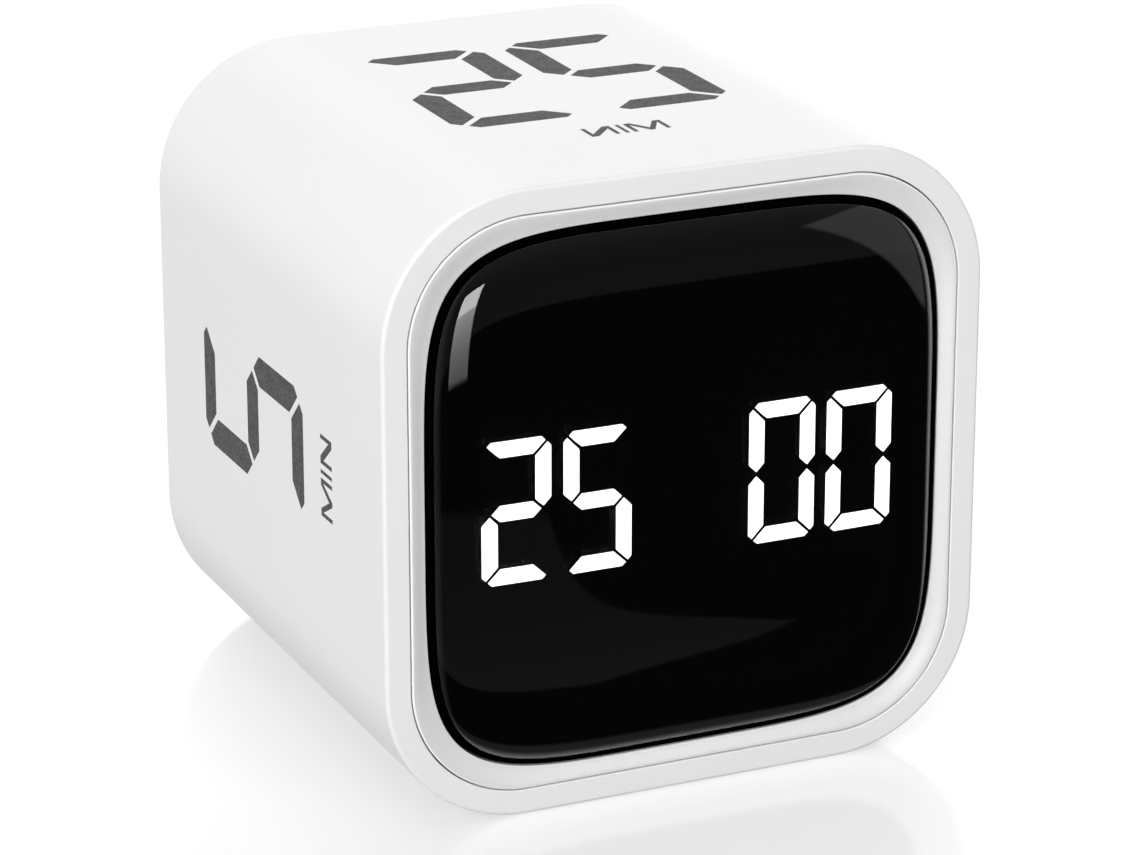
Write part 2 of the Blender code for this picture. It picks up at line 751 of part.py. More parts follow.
def back_cover():
    """The recessed rear panel, with a skirt that centres it, posts for the board and its openings."""
    cover = loft_object("back_cover", [
        (cover_outline(0), COVER_INNER),
        (cover_outline(0), COVER_OUTER - COVER_EDGE),
        (cover_outline(COVER_EDGE), COVER_OUTER),
    ], white_plastic())
    skirt = bmesh.new()
    add_hoop(skirt, [
        (cover_outline(SKIRT_OFFSET), COVER_INNER - SKIRT_DEPTH),
        (cover_outline(SKIRT_OFFSET), COVER_INNER + MELD),
        (cover_outline(SKIRT_OFFSET + SKIRT_THICK), COVER_INNER + MELD),
        (cover_outline(SKIRT_OFFSET + SKIRT_THICK), COVER_INNER - SKIRT_DEPTH),
    ])
    helper = new_object("back_cover_skirt", skirt, None)
    helper.hide_render = True
    helper.display_type = "WIRE"
    boolean(cover, helper, "UNION")
    posts = [(sx * POST_X, sz * POST_Z) for sx, sz in CORNERS]
    join(cover, [
        prism(moved(circle(BOARD_POST_RADIUS, SMALL_STEPS), x, z), PART_BASE, COVER_INNER + MELD) for x, z in posts
    ])
    through = (COVER_INNER - OVERRUN, COVER_OUTER + OVERRUN)
    holes = [
        prism(moved(circle(SMALL_HOLE, SMALL_STEPS), x, z), PART_BASE - OVERRUN, PART_BASE + SMALL_BITE)
        for x, z in posts
    ]
    for place in KEY_PLACES:
        holes.append(prism(moved(circle(KEY_RADIUS + GAP), place, KEY_ROW), *through))
    slot = box(KNOB_WIDTH + SLIDE_TRAVEL + GAP * 2, KNOB_HEIGHT + GAP * 2)
    holes.append(prism(moved(slot, SLIDE_PLACE, LOWER_ROW), *through))
    port = stadium(SOCKET_WIDTH + GAP * 2, SOCKET_HEIGHT + GAP * 2)
    holes.append(prism(moved(port, SOCKET_PLACE, LOWER_ROW), *through))
    for x, z in grille_places():
        holes.append(prism(moved(circle(GRILLE_HOLE, SMALL_STEPS), x, z), *through))
    for sx, sz in CORNERS:
        x, z = sx * COVER_BOSS_PLACE, sz * COVER_BOSS_PLACE
        floor = COVER_OUTER - COUNTERBORE_DEPTH
        narrow, wide = moved(circle(COVER_HOLE), x, z), moved(circle(COUNTERBORE), x, z)
        holes.append([(narrow, through[0]), (narrow, floor), (wide, floor), (wide, through[1])])
    cut(cover, holes)


def grille_places():
    """One sound hole in the middle of the buzzer and a ring of them round it."""
    ring = circle(GRILLE_CIRCLE, GRILLE_COUNT)
    return [(0, LOWER_ROW)] + moved(ring, 0, LOWER_ROW)


def cover_screws():
    """Four flat screws in the corner counterbores, down into the shell's bosses."""
    seat = COVER_OUTER - COUNTERBORE_DEPTH + GAP
    tip = COVER_INNER - COVER_BITE
    surface = steel()
    for number, (sx, sz) in enumerate(CORNERS, 1):
        place = (sx * COVER_BOSS_PLACE, 0, MIDDLE + sz * COVER_BOSS_PLACE)
        loft_object(f"cover_screw_{number}", [
            (circle(COVER_HEAD - COVER_HEAD_THICK / 4, SMALL_STEPS * 2), seat + COVER_HEAD_THICK),
            (circle(COVER_HEAD, SMALL_STEPS * 2), seat + COVER_HEAD_THICK * 3 / 4),
            (circle(COVER_HEAD, SMALL_STEPS * 2), seat),
            (circle(COVER_SHANK, SMALL_STEPS * 2), seat),
            (circle(COVER_SHANK, SMALL_STEPS * 2), tip),
        ], surface, place)


# Keys

def keys():
    """Three round push keys, each with its switch and the plunger that it presses."""
    for name, place in zip(("minute", "second", "start"), KEY_PLACES):
        spot = (place, 0, MIDDLE + KEY_ROW)
        key_cap(name + "_key", spot)
        key_switch(name + "_key_switch", spot)
        loft_object(
            name + "_key_plunger",
            prism(circle(PLUNGER_RADIUS), SWITCH_TOP - PLUNGER_DEPTH, PLUNGER_TOP),
            black_package(),
            spot,
        )


def key_cap(name, spot):
    """A cap with a crowned top and the flange that keeps it in the cover."""
    top = COVER_OUTER + KEY_RISE
    flange = circle(KEY_RADIUS + KEY_FLANGE_WIDTH)
    loft_object(name, [
        (flange, KEY_BOTTOM),
        (flange, KEY_FLANGE_TOP),
        (circle(KEY_RADIUS), KEY_FLANGE_TOP),
        (circle(KEY_RADIUS), top - KEY_CROWN),
        (circle(KEY_RADIUS - KEY_CROWN), top - KEY_CROWN / 4),
        (circle(KEY_RADIUS / 2), top),
    ], grey_plastic(), spot)


def key_switch(name, spot):
    """The square body of a push switch, with the well that its plunger moves in."""
    body = loft_object(name, prism(box(SWITCH_SIDE, SWITCH_SIDE), PART_BASE, SWITCH_TOP), steel(), spot)
    deep = SWITCH_TOP - PLUNGER_DEPTH - KEY_TRAVEL - GAP
    cut(body, [prism(circle(PLUNGER_RADIUS + GAP), deep, SWITCH_TOP + OVERRUN)], spot)


# Slide switch

def slide_switch():
    """The switch on the board, the lever that stands in it and the knob that the finger moves."""
    lever_base = SWITCH_TOP - LEVER_DEPTH
    centre = (SLIDE_PLACE, 0, MIDDLE + LOWER_ROW)
    rest = (SLIDE_PLACE - SLIDE_TRAVEL / 2, 0, MIDDLE + LOWER_ROW)
    outline = box(SLIDER_WIDTH, SLIDER_HEIGHT)
    body = loft_object("slide_switch", prism(outline, PART_BASE, SWITCH_TOP), steel(), centre)
    slot = box(LEVER_SIDE + SLIDE_TRAVEL + GAP * 2, LEVER_SIDE + GAP * 2)
    cut(body, [prism(slot, lever_base - GAP, SWITCH_TOP + OVERRUN)], centre)
    lever_end = KEY_BOTTOM + LEVER_REACH
    loft_object("slide_lever", prism(box(LEVER_SIDE, LEVER_SIDE), lever_base, lever_end), black_package(), rest)
    top = COVER_OUTER + SLIDE_RISE
    flange = box(KNOB_FLANGE_WIDTH, KNOB_FLANGE_HEIGHT)
    knob = loft_object("slide_knob", [
        (flange, KEY_BOTTOM),
        (flange, KEY_BOTTOM + KNOB_FLANGE),
        (box(KNOB_WIDTH, KNOB_HEIGHT), KEY_BOTTOM + KNOB_FLANGE),
        (box(KNOB_WIDTH, KNOB_HEIGHT), top - KEY_CROWN),
        (box(KNOB_WIDTH - KEY_CROWN * 2, KNOB_HEIGHT - KEY_CROWN * 2), top),
    ], grey_plastic(), rest)
    pocket = box(LEVER_SIDE + GAP * 2, LEVER_SIDE + GAP * 2)
    cut(knob, [prism(pocket, KEY_BOTTOM - OVERRUN, lever_end + GAP)], rest)


# Charging socket and buzzer

def charging_socket():
    """An upright socket: a flat oval shell open to the back, with a contact tongue in it."""
    spot = (SOCKET_PLACE, 0, MIDDLE + LOWER_ROW)
    mouth = COVER_OUTER - SOCKET_SETBACK
    floor = PART_BASE + SOCKET_FLOOR
    shell = loft_object(
        "socket_shell", prism(stadium(SOCKET_WIDTH, SOCKET_HEIGHT), PART_BASE, mouth), steel(), spot
    )
    hollow = stadium(SOCKET_WIDTH - SOCKET_WALL * 2, SOCKET_HEIGHT - SOCKET_WALL * 2)
    cut(shell, [prism(hollow, floor, mouth + OVERRUN)], spot)
    tongue = prism(box(TONGUE_WIDTH, TONGUE_THICK), floor + GAP, mouth - TONGUE_SETBACK)
    loft_object("socket_tongue", tongue, black_package(), spot)


def buzzer():
    """The round sounder on the board and the foam ring that leads it to the sound holes."""
    spot = (0, 0, MIDDLE + LOWER_ROW)
    gasket_top = COVER_INNER - GAP
    top = gasket_top - GASKET_THICK - GAP
    body = loft_object("buzzer", prism(circle(BUZZER_RADIUS), PART_BASE, top), black_package(), spot)
    cut(body, [prism(circle(BUZZER_HOLE, SMALL_STEPS), top - BUZZER_HOLE_DEPTH, top + OVERRUN)], spot)
    gasket = loft_object(
        "buzzer_gasket", prism(circle(BUZZER_RADIUS), gasket_top - GASKET_THICK, gasket_top), black_foam(), spot
    )
    ring = circle(BUZZER_RADIUS - GASKET_WIDTH)
    cut(gasket, [prism(ring, gasket_top - GASKET_THICK - OVERRUN, gasket_top + OVERRUN)], spot)


# Main board

def main_board():
    """The rear board on the cover's posts, with its four screws and its chips on the inner side."""
    outline = rounded_box(MAIN_BOARD_WIDTH, MAIN_BOARD_HEIGHT, MAIN_BOARD_RADIUS)
    board = loft_object("main_board", prism(outline, BOARD_FRONT, BOARD_BACK), circuit_board())
    posts = [(sx * POST_X, sz * POST_Z) for sx, sz in CORNERS]
    cut(board, [
        prism(moved(circle(SMALL_HOLE, SMALL_STEPS), x, z), BOARD_FRONT - OVERRUN, BOARD_BACK + OVERRUN)
        for x, z in posts
    ])
    for number, spot in enumerate(posts, 1):
        small_screw(f"board_screw_{number}", spot, BOARD_FRONT - GAP, MAIN_BOARD_THICK, -1)
    chip("microcontroller", (SIDE_CHIP_PLACE, 0), (CONTROLLER_SIDE, CONTROLLER_SIDE))
    chip("tilt_sensor", (-SIDE_CHIP_PLACE, TILT_SENSOR_ROW), (TILT_SENSOR_WIDTH, TILT_SENSOR_HEIGHT))
    chip("charge_controller", (-SIDE_CHIP_PLACE, CHARGER_ROW), (CHARGER_WIDTH, CHARGER_HEIGHT))


def chip(name, spot, size):
    """A flat package on the board's inner side."""
    outline = prism(box(*size), INNER_BASE - CHIP_PACKAGE_THICK, INNER_BASE)
    loft_object(name, outline, black_package(), (spot[0], 0, MIDDLE + spot[1]))


# Battery

def battery():
    """A flat pouch cell, taped to the board, with its two leads and their plug and socket."""
    pad_front = INNER_BASE - PAD_THICK
    pad = box(BATTERY_WIDTH - PAD_INSET * 2, BATTERY_HEIGHT - PAD_INSET * 2)
    loft_object("battery_pad", prism(pad, pad_front, INNER_BASE), black_foam())
    back = pad_front - GAP
    front = back - BATTERY_THICK
    edge = BATTERY_RADIUS / 2

    def outline(inset):
        size = (BATTERY_WIDTH - inset * 2, BATTERY_HEIGHT - inset * 2)
        return rounded_box(*size, BATTERY_RADIUS - inset)

    loft_object("battery_cell", [
        (outline(edge), front),
        (outline(0), front + edge),
        (outline(0), back - edge),
        (outline(edge), back),
    ], silver_pouch())
    plug_back = INNER_BASE - BATTERY_SOCKET_FLOOR - GAP
    spot = (PLUG_PLACE, 0, MIDDLE + PLUG_ROW)
    outer = box(PLUG_WIDTH + (GAP + PLUG_WALL) * 2, PLUG_HEIGHT + (GAP + PLUG_WALL) * 2)
    mouth = INNER_BASE - BATTERY_SOCKET_DEPTH
    socket = loft_object("battery_socket", prism(outer, mouth, INNER_BASE), cream_plastic(), spot)
    hollow = box(PLUG_WIDTH + GAP * 2, PLUG_HEIGHT + GAP * 2)
    cut(socket, [prism(hollow, mouth - OVERRUN, plug_back + GAP)], spot)
    plug_front = plug_back - PLUG_DEPTH
    loft_object("battery_plug", prism(box(PLUG_WIDTH, PLUG_HEIGHT), plug_front, plug_back), cream_plastic(), spot)
    middle = (front + back) / 2
    for side, name, surface in ((-1, "battery_lead_positive", red_lead()), (1, "battery_lead_negative", black_lead())):
        start = Vector((LEAD_PLACE, middle - side * LEAD_SPACING / 2, BATTERY_HEIGHT / 2 + GAP))
        end = Vector((PLUG_PLACE + side * LEAD_SPACING / 2, plug_front - GAP, PLUG_ROW))
        bow = LEAD_BULGE + (side + 1) / 2 * LEAD_SPACING * 2
        lead(name, (start, start + Vector((0, 0, bow)), end - Vector((0, bow, 0)), end), surface)


def lead(name, controls, surface):
    """A round wire along one smooth curve, given by its ends and the way that it leaves them."""
    curve = bpy.data.curves.new(name, "CURVE")
    curve.dimensions = "3D"
    curve.bevel_depth = LEAD_RADIUS
    curve.bevel_resolution = 1
    curve.use_fill_caps = True
    spline = curve.splines.new("POLY")
    spline.points.add(LEAD_POINTS - 1)
    for step, point in enumerate(spline.points):
        point.co = (*bezier(controls, step / (LEAD_POINTS - 1)), 1.0)
    curve.materials.append(surface)
    obj = bpy.data.objects.new(name, curve)
    obj.location = (0, 0, MIDDLE)
    bpy.context.scene.collection.objects.link(obj)


def bezier(controls, t):
    a, b, c, d = controls
    u = 1 - t
    return a * u**3 + b * (3 * u * u * t) + c * (3 * u * t * t) + d * t**3


# Ribbon between the boards

def ribbon():
    """A flat cable that hangs in one shallow bow between a socket on each board."""
    front_mouth = FRONT + DISPLAY_BOARD_BACK_IN + GAP + RIBBON_SOCKET_DEPTH
    back_mouth = INNER_BASE - RIBBON_SOCKET_DEPTH
    ribbon_socket("display_ribbon_socket", front_mouth, -1)
    ribbon_socket("main_ribbon_socket", back_mouth, 1)
    start, end = front_mouth - RIBBON_BITE, back_mouth + RIBBON_BITE
    strip = box(RIBBON_WIDTH, RIBBON_THICK)
    sections = [(moved(strip, 0, RIBBON_ROW), start)]
    for step in range(RIBBON_POINTS):
        share = step / (RIBBON_POINTS - 1)
        sag = RIBBON_SAG * (1 - cos(2 * pi * share)) / 2
        depth = front_mouth + GAP + (back_mouth - front_mouth - GAP * 2) * share
        sections.append((moved(strip, 0, RIBBON_ROW - sag), depth))
    sections.append((moved(strip, 0, RIBBON_ROW), end))
    loft_object("display_ribbon", sections, cream_plastic())


def ribbon_socket(name, mouth, way):
    """A flat socket on a board; way is 1 where its mouth faces the front."""
    spot = (0, 0, MIDDLE + RIBBON_ROW)
    outer = box(RIBBON_WIDTH + RIBBON_SOCKET_MARGIN * 2, RIBBON_SOCKET_HEIGHT)
    base = mouth + way * RIBBON_SOCKET_DEPTH
    socket = loft_object(name, prism(outer, mouth, base), cream_plastic(), spot)
    slot = box(RIBBON_WIDTH + GAP * 2, RIBBON_THICK + GAP * 2)
    cut(socket, [prism(slot, mouth - way * OVERRUN, mouth + way * (RIBBON_BITE + GAP))], spot)


def build():
    for obj in list(bpy.data.objects):
        bpy.data.objects.remove(obj, do_unlink=True)
    main_shell()
    front_bezel()
    lens_frame()
    front_lens()
    display_mask()
    digit_guides()
    light_reflector()
    display_board()
    back_cover()
    cover_screws()
    keys()
    slide_switch()
    charging_socket()
    buzzer()
    main_board()
    battery()
    ribbon()


build()
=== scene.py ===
"""Dresses a flip-to-start kitchen timer: a white cube with a domed smoked window over four lit digits.

Metres, +Z up, front towards -Y. The origin is under the middle of the cube, on the surface it stands on.
Every piece keeps its place in its own mesh, and its object stays at the origin.
"""

import logging
from collections.abc import Callable
from dataclasses import dataclass
from enum import Enum
from functools import partial
from math import cos, pi, radians, sin

import bmesh
import bpy
import numpy as np
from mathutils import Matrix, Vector


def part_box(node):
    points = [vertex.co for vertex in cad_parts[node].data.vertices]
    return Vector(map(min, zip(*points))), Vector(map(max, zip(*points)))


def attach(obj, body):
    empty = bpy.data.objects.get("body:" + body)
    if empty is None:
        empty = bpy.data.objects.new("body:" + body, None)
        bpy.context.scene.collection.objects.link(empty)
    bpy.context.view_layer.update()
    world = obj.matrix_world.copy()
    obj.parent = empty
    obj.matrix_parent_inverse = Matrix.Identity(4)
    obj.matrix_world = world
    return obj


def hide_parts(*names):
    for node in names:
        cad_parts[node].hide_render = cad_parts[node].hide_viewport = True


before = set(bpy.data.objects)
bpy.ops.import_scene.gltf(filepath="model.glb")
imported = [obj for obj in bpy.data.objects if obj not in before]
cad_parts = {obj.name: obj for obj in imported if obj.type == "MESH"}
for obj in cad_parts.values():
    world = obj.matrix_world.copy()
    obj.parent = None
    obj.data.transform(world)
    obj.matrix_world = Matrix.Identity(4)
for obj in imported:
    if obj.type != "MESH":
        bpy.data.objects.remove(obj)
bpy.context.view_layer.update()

logging.basicConfig(level=logging.INFO, format="%(name)s: %(message)s")
log = logging.getLogger("kitchen_timer")

Outline = np.ndarray  # points across and up
Shape = Callable[[float], Outline]  # draws an outline that is moved by an amount
Rings = list[tuple[Outline, float]]  # outlines, each with its depth along Y
Spot = tuple[float, float]  # across and up
Triple = tuple[float, float, float]
Ramp = tuple[float, float, float, float]  # two values, and what each becomes
Socket = bpy.types.NodeSocket
Inputs = dict[str | int, object]  # an output to link, or a value to set, by an input's name or number


class Body(Enum):
    """The bodies that move on their own."""

    HOUSING = "housing"
    MINUTE_KEY = "minute_key"
    SECOND_KEY = "second_key"
    START_KEY = "start_key"
    SOUND_SLIDE = "sound_slide"


@dataclass(frozen=True)
class Cube:
    """The sizes that the sub-assemblies share."""

    side: float = 0.060
    depth: float = 0.0586
    edge_radius: float = 0.0140
    window_rise: float = 0.0014
    wall: float = 0.00245
    seam: float = 0.00013
    gap: float = 0.0003
    ink: float = 0.000002
    bezel_width: float = 0.00155
    window_power: float = 4.9
    figure_spots: tuple[float, ...] = (-0.01725, -0.0093, 0.0093, 0.01725)
    key_spots: tuple[float, ...] = (-0.013, 0.0, 0.013)
    key_row: float = 0.039
    port_spot: float = 0.0135
    low_row: float = 0.024
    screw_spot: float = 0.0200

    @property
    def middle(self) -> float:
        """Height of the cube's centre."""
        return self.side / 2

    @property
    def front(self) -> float:
        """Y of the front rim."""
        return -(self.depth - self.window_rise) / 2

    @property
    def bore_half(self) -> float:
        """Half the width of the bore."""
        return self.side / 2 - self.wall

    @property
    def bore_radius(self) -> float:
        """Corner radius of the bore."""
        return self.edge_radius - self.wall

    @property
    def window_half(self) -> float:
        """Half the width of the window's outline."""
        return self.bore_half - self.seam - self.bezel_width


CUBE = Cube()
CENTRE: Spot = (0.0, CUBE.middle)
ORIGIN: Spot = (0.0, 0.0)
PAST = 0.001  # how far a cutter reaches past what it cuts
DOUBLES = 0.0000001  # how near to each other points count as one
NOISE_RANGE = (0.3, 0.7)  # where most values of a noise lie


def plain(path: np.ndarray) -> Outline:
    """Turns complex numbers into points."""
    return np.stack([path.real, path.imag], axis=1)


def square_outline(half: float, radius: float, arc: int = 26, flat: int = 14) -> Outline:
    """Draws a square with round corners, anticlockwise from the middle of its right side.

    Args:
        half: Half the width.
        radius: Corner radius.
        arc: Steps on each corner.
        flat: Steps on each half side.

    Returns:
        The outline, with the same number of points for any half and radius.
    """
    straight, steps = half - radius, np.arange(flat) / flat
    corner = straight * (1 + 1j) + radius * np.exp(0.5j * pi * np.arange(arc) / arc)
    quarter = np.concatenate([half + 1j * straight * steps, corner, straight * (1 - steps) + 1j * half])
    return plain(np.concatenate([quarter * 1j**turn for turn in range(4)]))


def bore_outline(inset: float = 0.0) -> Outline:
    """Draws the bore's outline, moved inwards."""
    return square_outline(CUBE.bore_half - inset, CUBE.bore_radius - inset)


def window_outline(inset: float = 0.0, guide: Outline | None = None) -> Outline:
    """Draws the window's superellipse, moved inwards square to itself.

    Args:
        inset: How far inside the window's edge, negative outside it.
        guide: An outline whose points the result follows by direction.

    Returns:
        The outline, point for point beside the guide.
    """
    guide = bore_outline() if guide is None else guide
    power = CUBE.window_power
    way = guide / np.linalg.norm(guide, axis=1, keepdims=True)
    edge = way * CUBE.window_half / (np.abs(way) ** power).sum(axis=1, keepdims=True) ** (1 / power)
    out = np.sign(edge) * np.abs(edge) ** (power - 1)
    return edge - out / np.linalg.norm(out, axis=1, keepdims=True) * inset


def circle(radius: float, steps: int) -> Outline:
    """Draws a circle."""
    return plain(radius * np.exp(2j * pi * np.arange(steps) / steps))


def rounded_box(width: float, height: float, radius: float, steps: int = 2) -> Outline:
    """Draws a rectangle with round corners, anticlockwise from its lower right one.

    Args:
        width: Size across.
        height: Size up.
        radius: Corner radius.
        steps: Steps on each corner.

    Returns:
        The outline.
    """
    across, up = width / 2 - radius, height / 2 - radius
    turn = radius * np.exp(0.5j * pi * np.arange(steps + 1) / steps)
    middles = (across - 1j * up, across + 1j * up, -across + 1j * up, -across - 1j * up)
    rounds = [middle + turn * 1j ** (quarter - 1) for quarter, middle in enumerate(middles)]
    return plain(np.concatenate(rounds))


def box_shape(width: float, height: float, radius: float, steps: int) -> Shape:
    """Gives a rectangle with round corners as a shape that can be moved inwards."""
    return lambda inset: rounded_box(width - 2 * inset, height - 2 * inset, radius - inset, steps)


def eased(shape: Shape, end: float, radius: float, steps: int, way: int = 1) -> Rings:
    """Gives the rings of a round edge, from a body's side to its end face.

    Args:
        shape: Draws the outline, moved by an amount.
        end: Y of the end face.
        radius: Radius of the edge.
        steps: Steps round the edge.
        way: 1 for a face towards +Y, and -1 for one towards -Y.

    Returns:
        The rings.
    """
    turns = np.linspace(0.0, pi / 2, steps + 1)
    return [(shape(radius * (1 - cos(turn))), end - way * radius * (1 - sin(turn))) for turn in turns]


def corners(across: float, up: float) -> list[Spot]:
    """Gives four spots about the middle of the cube."""
    return [(sx * across, CUBE.middle + sz * up) for sx in (-1, 1) for sz in (-1, 1)]


class Form:
    """A mesh in the making, in the row frame."""

    def __init__(self) -> None:
        """Starts with no points and no faces."""
        self.points: list[tuple[float, ...]] = []
        self.faces: list[tuple[int, ...]] = []
        self.slots: list[int] = []

    def solid(self, rings: list[np.ndarray], slot: int = 0, ends: bool = True) -> "Form":
        """Adds a body through rings of points in space.

        Args:
            rings: The rings, with as many points each.
            slot: Material slot of the faces.
            ends: Whether both ends are closed. If not, the last ring joins the first.

        Returns:
            The form itself.
        """
        count, start = len(rings[0]), len(self.points)
        made = [range(start + number * count, start + (number + 1) * count) for number in range(len(rings))]
        self.points += [tuple(point) for ring in rings for point in ring]
        for first, second in zip(made, made[1:] if ends else made[1:] + made[:1]):
            self.faces += [(first[k - 1], first[k], second[k], second[k - 1]) for k in range(count)]
        if ends:
            self.faces += [tuple(made[0]), tuple(reversed(made[-1]))]
        self.slots += [slot] * (len(self.faces) - len(self.slots))
        return self

    def loft(self, rings: Rings, place: Spot = CENTRE, slot: int = 0, ends: bool = True) -> "Form":
        """Adds a body through upright outlines, each at its depth.

        Args:
            rings: Outlines with their depths.
            place: Where their middle lies.
            slot: Material slot of the faces.
            ends: Whether both ends are closed. If not, the last outline joins the first.

        Returns:
            The form itself.
        """
        drawn = [np.insert(outline + place, 1, depth, axis=1) for outline, depth in rings]
        return self.solid(drawn, slot, ends)

    def plates(self, outline: Outline, start: float, end: float, *places: Spot, slot: int = 0) -> "Form":
        """Adds straight-sided bodies of one outline.

        Args:
            outline: Their outline.
            start: Y of one face.
            end: Y of the other face.
            *places: Where their middles lie.
            slot: Material slot of the faces.

        Returns:
            The form itself.
        """
        for place in places:
            self.loft([(outline, start), (outline, end)], place, slot)
        return self

    def thing(self, name: str) -> bpy.types.Object:
        """Makes an object, with doubles merged and every face turned outwards.

        Args:
            name: Name of the object.

        Returns:
            The object.
        """
        mesh = bpy.data.meshes.new(name)
        mesh.from_pydata(self.points, [], self.faces)
        mesh.polygons.foreach_set("material_index", self.slots)
        work = bmesh.new()
        work.from_mesh(mesh)
        bmesh.ops.remove_doubles(work, verts=work.verts, dist=DOUBLES)
        bmesh.ops.recalc_face_normals(work, faces=work.faces)
        work.to_mesh(mesh)
        work.free()
        return linked(name, mesh)


def linked(name: str, data: bpy.types.ID) -> bpy.types.Object:
    """Makes an object and links it to the scene.

    Args:
        name: Name of the object.
        data: Its mesh, lamp or camera.

    Returns:
        The object.
    """
    thing = bpy.data.objects.new(name, data)
    bpy.context.scene.collection.objects.link(thing)
    return thing


def bake(thing: bpy.types.Object) -> None:
    """Turns an object's live modifiers into its mesh.

    Args:
        thing: The object.
    """
    bpy.context.view_layer.update()
    graph = bpy.context.evaluated_depsgraph_get()
    live = thing.evaluated_get(graph)
    made = bpy.data.meshes.new_from_object(live, preserve_all_data_layers=True, depsgraph=graph)
    made.name = thing.name
    thing.modifiers.clear()
    old, thing.data = thing.data, made
    bpy.data.meshes.remove(old)


def combine(thing: bpy.types.Object, form: Form, operation: str) -> None:
    """Cuts a form from an object or joins it on.

    Args:
        thing: The object that changes.
        form: The other body, or several that don't touch.
        operation: DIFFERENCE or UNION.
    """
    other = form.thing(thing.name + "_tool")
    step = thing.modifiers.new("combine", "BOOLEAN")
    step.operation, step.solver, step.object = operation, "EXACT", other
    bake(thing)
    bpy.data.objects.remove(other)


def smooth(thing: bpy.types.Object, crease: float = 34.0) -> None:
    """Shades an object smoothly, with flat faces kept flat and sharp edges kept sharp.

    Args:
        thing: The object.
        crease: Angle in degrees from which an edge is sharp.
    """
    mesh = thing.data
    mesh.polygons.foreach_set("use_smooth", [True] * len(mesh.polygons))
    mesh.set_sharp_from_angle(angle=radians(crease))
    step = thing.modifiers.new("even", "WEIGHTED_NORMAL")
    step.mode, step.weight, step.keep_sharp = "FACE_AREA", 100, True
    bake(thing)


def settle(
    thing: bpy.types.Object,
    slot: str,
    *finishes: "Finish",
    body: Body = Body.HOUSING,
    stands_for: tuple[str, ...] = (),
) -> None:
    """Gives a finished piece its materials and its body.

    Args:
        thing: The piece.
        slot: The record's material slot. It is not used.
        *finishes: One finish for each of its own material slots.
        body: The body that it moves with.
        stands_for: The nodes that it replaces.
    """
    mesh = thing.data
    chosen = [min(face.material_index, len(finishes) - 1) for face in mesh.polygons]
    mesh.materials.clear()
    for finish in finishes:
        mesh.materials.append(finish.material())
    mesh.polygons.foreach_set("material_index", chosen)
    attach(thing, body.value)
    if stands_for:
        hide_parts(*stands_for)
    log.info("%s: %d faces on %s", thing.name, len(mesh.polygons), body.value)


# Finishes


class Nodes:
    """Builds a node tree, step by step."""

    def __init__(self, tree: bpy.types.NodeTree) -> None:
        """Starts with a tree."""
        self.tree = tree

    def feed(self, node: bpy.types.Node, inputs: Inputs) -> None:
        """Links or sets a node's inputs.

        Args:
            node: The node.
            inputs: What each input takes.
        """
        for title, value in inputs.items():
            if isinstance(value, Socket):
                self.tree.links.new(value, node.inputs[title])
            else:
                node.inputs[title].default_value = value

    def add(self, kind: str, inputs: Inputs | None = None, **settings: object) -> bpy.types.Node:
        """Adds a node.

        Args:
            kind: Type of the node.
            inputs: What each input takes.
            **settings: Properties of the node.

        Returns:
            The node.
        """
        node = self.tree.nodes.new(kind)
        for name, value in settings.items():
            setattr(node, name, value)
        self.feed(node, inputs or {})
        return node

    def span(
        self, value: Socket, start: float, end: float, low: float = 0.0, high: float = 1.0, soft: bool = False
    ) -> Socket:
        """Maps a value from one range to another and clamps it.

        Args:
            value: The value.
            start: The value that becomes low.
            end: The value that becomes high.
            low: First result.
            high: Last result.
            soft: Whether the change starts and ends gently.

        Returns:
            The mapped value.
        """
        inputs = {"Value": value, "From Min": start, "From Max": end, "To Min": low, "To Max": high}
        kind = "SMOOTHSTEP" if soft else "LINEAR"
        return self.add("ShaderNodeMapRange", inputs, interpolation_type=kind).outputs["Result"]

    def maths(self, operation: str, first: Socket, second: Socket | float) -> Socket:
        """Works out a sum of two values."""
        return self.add("ShaderNodeMath", {0: first, 1: second}, operation=operation).outputs[0]


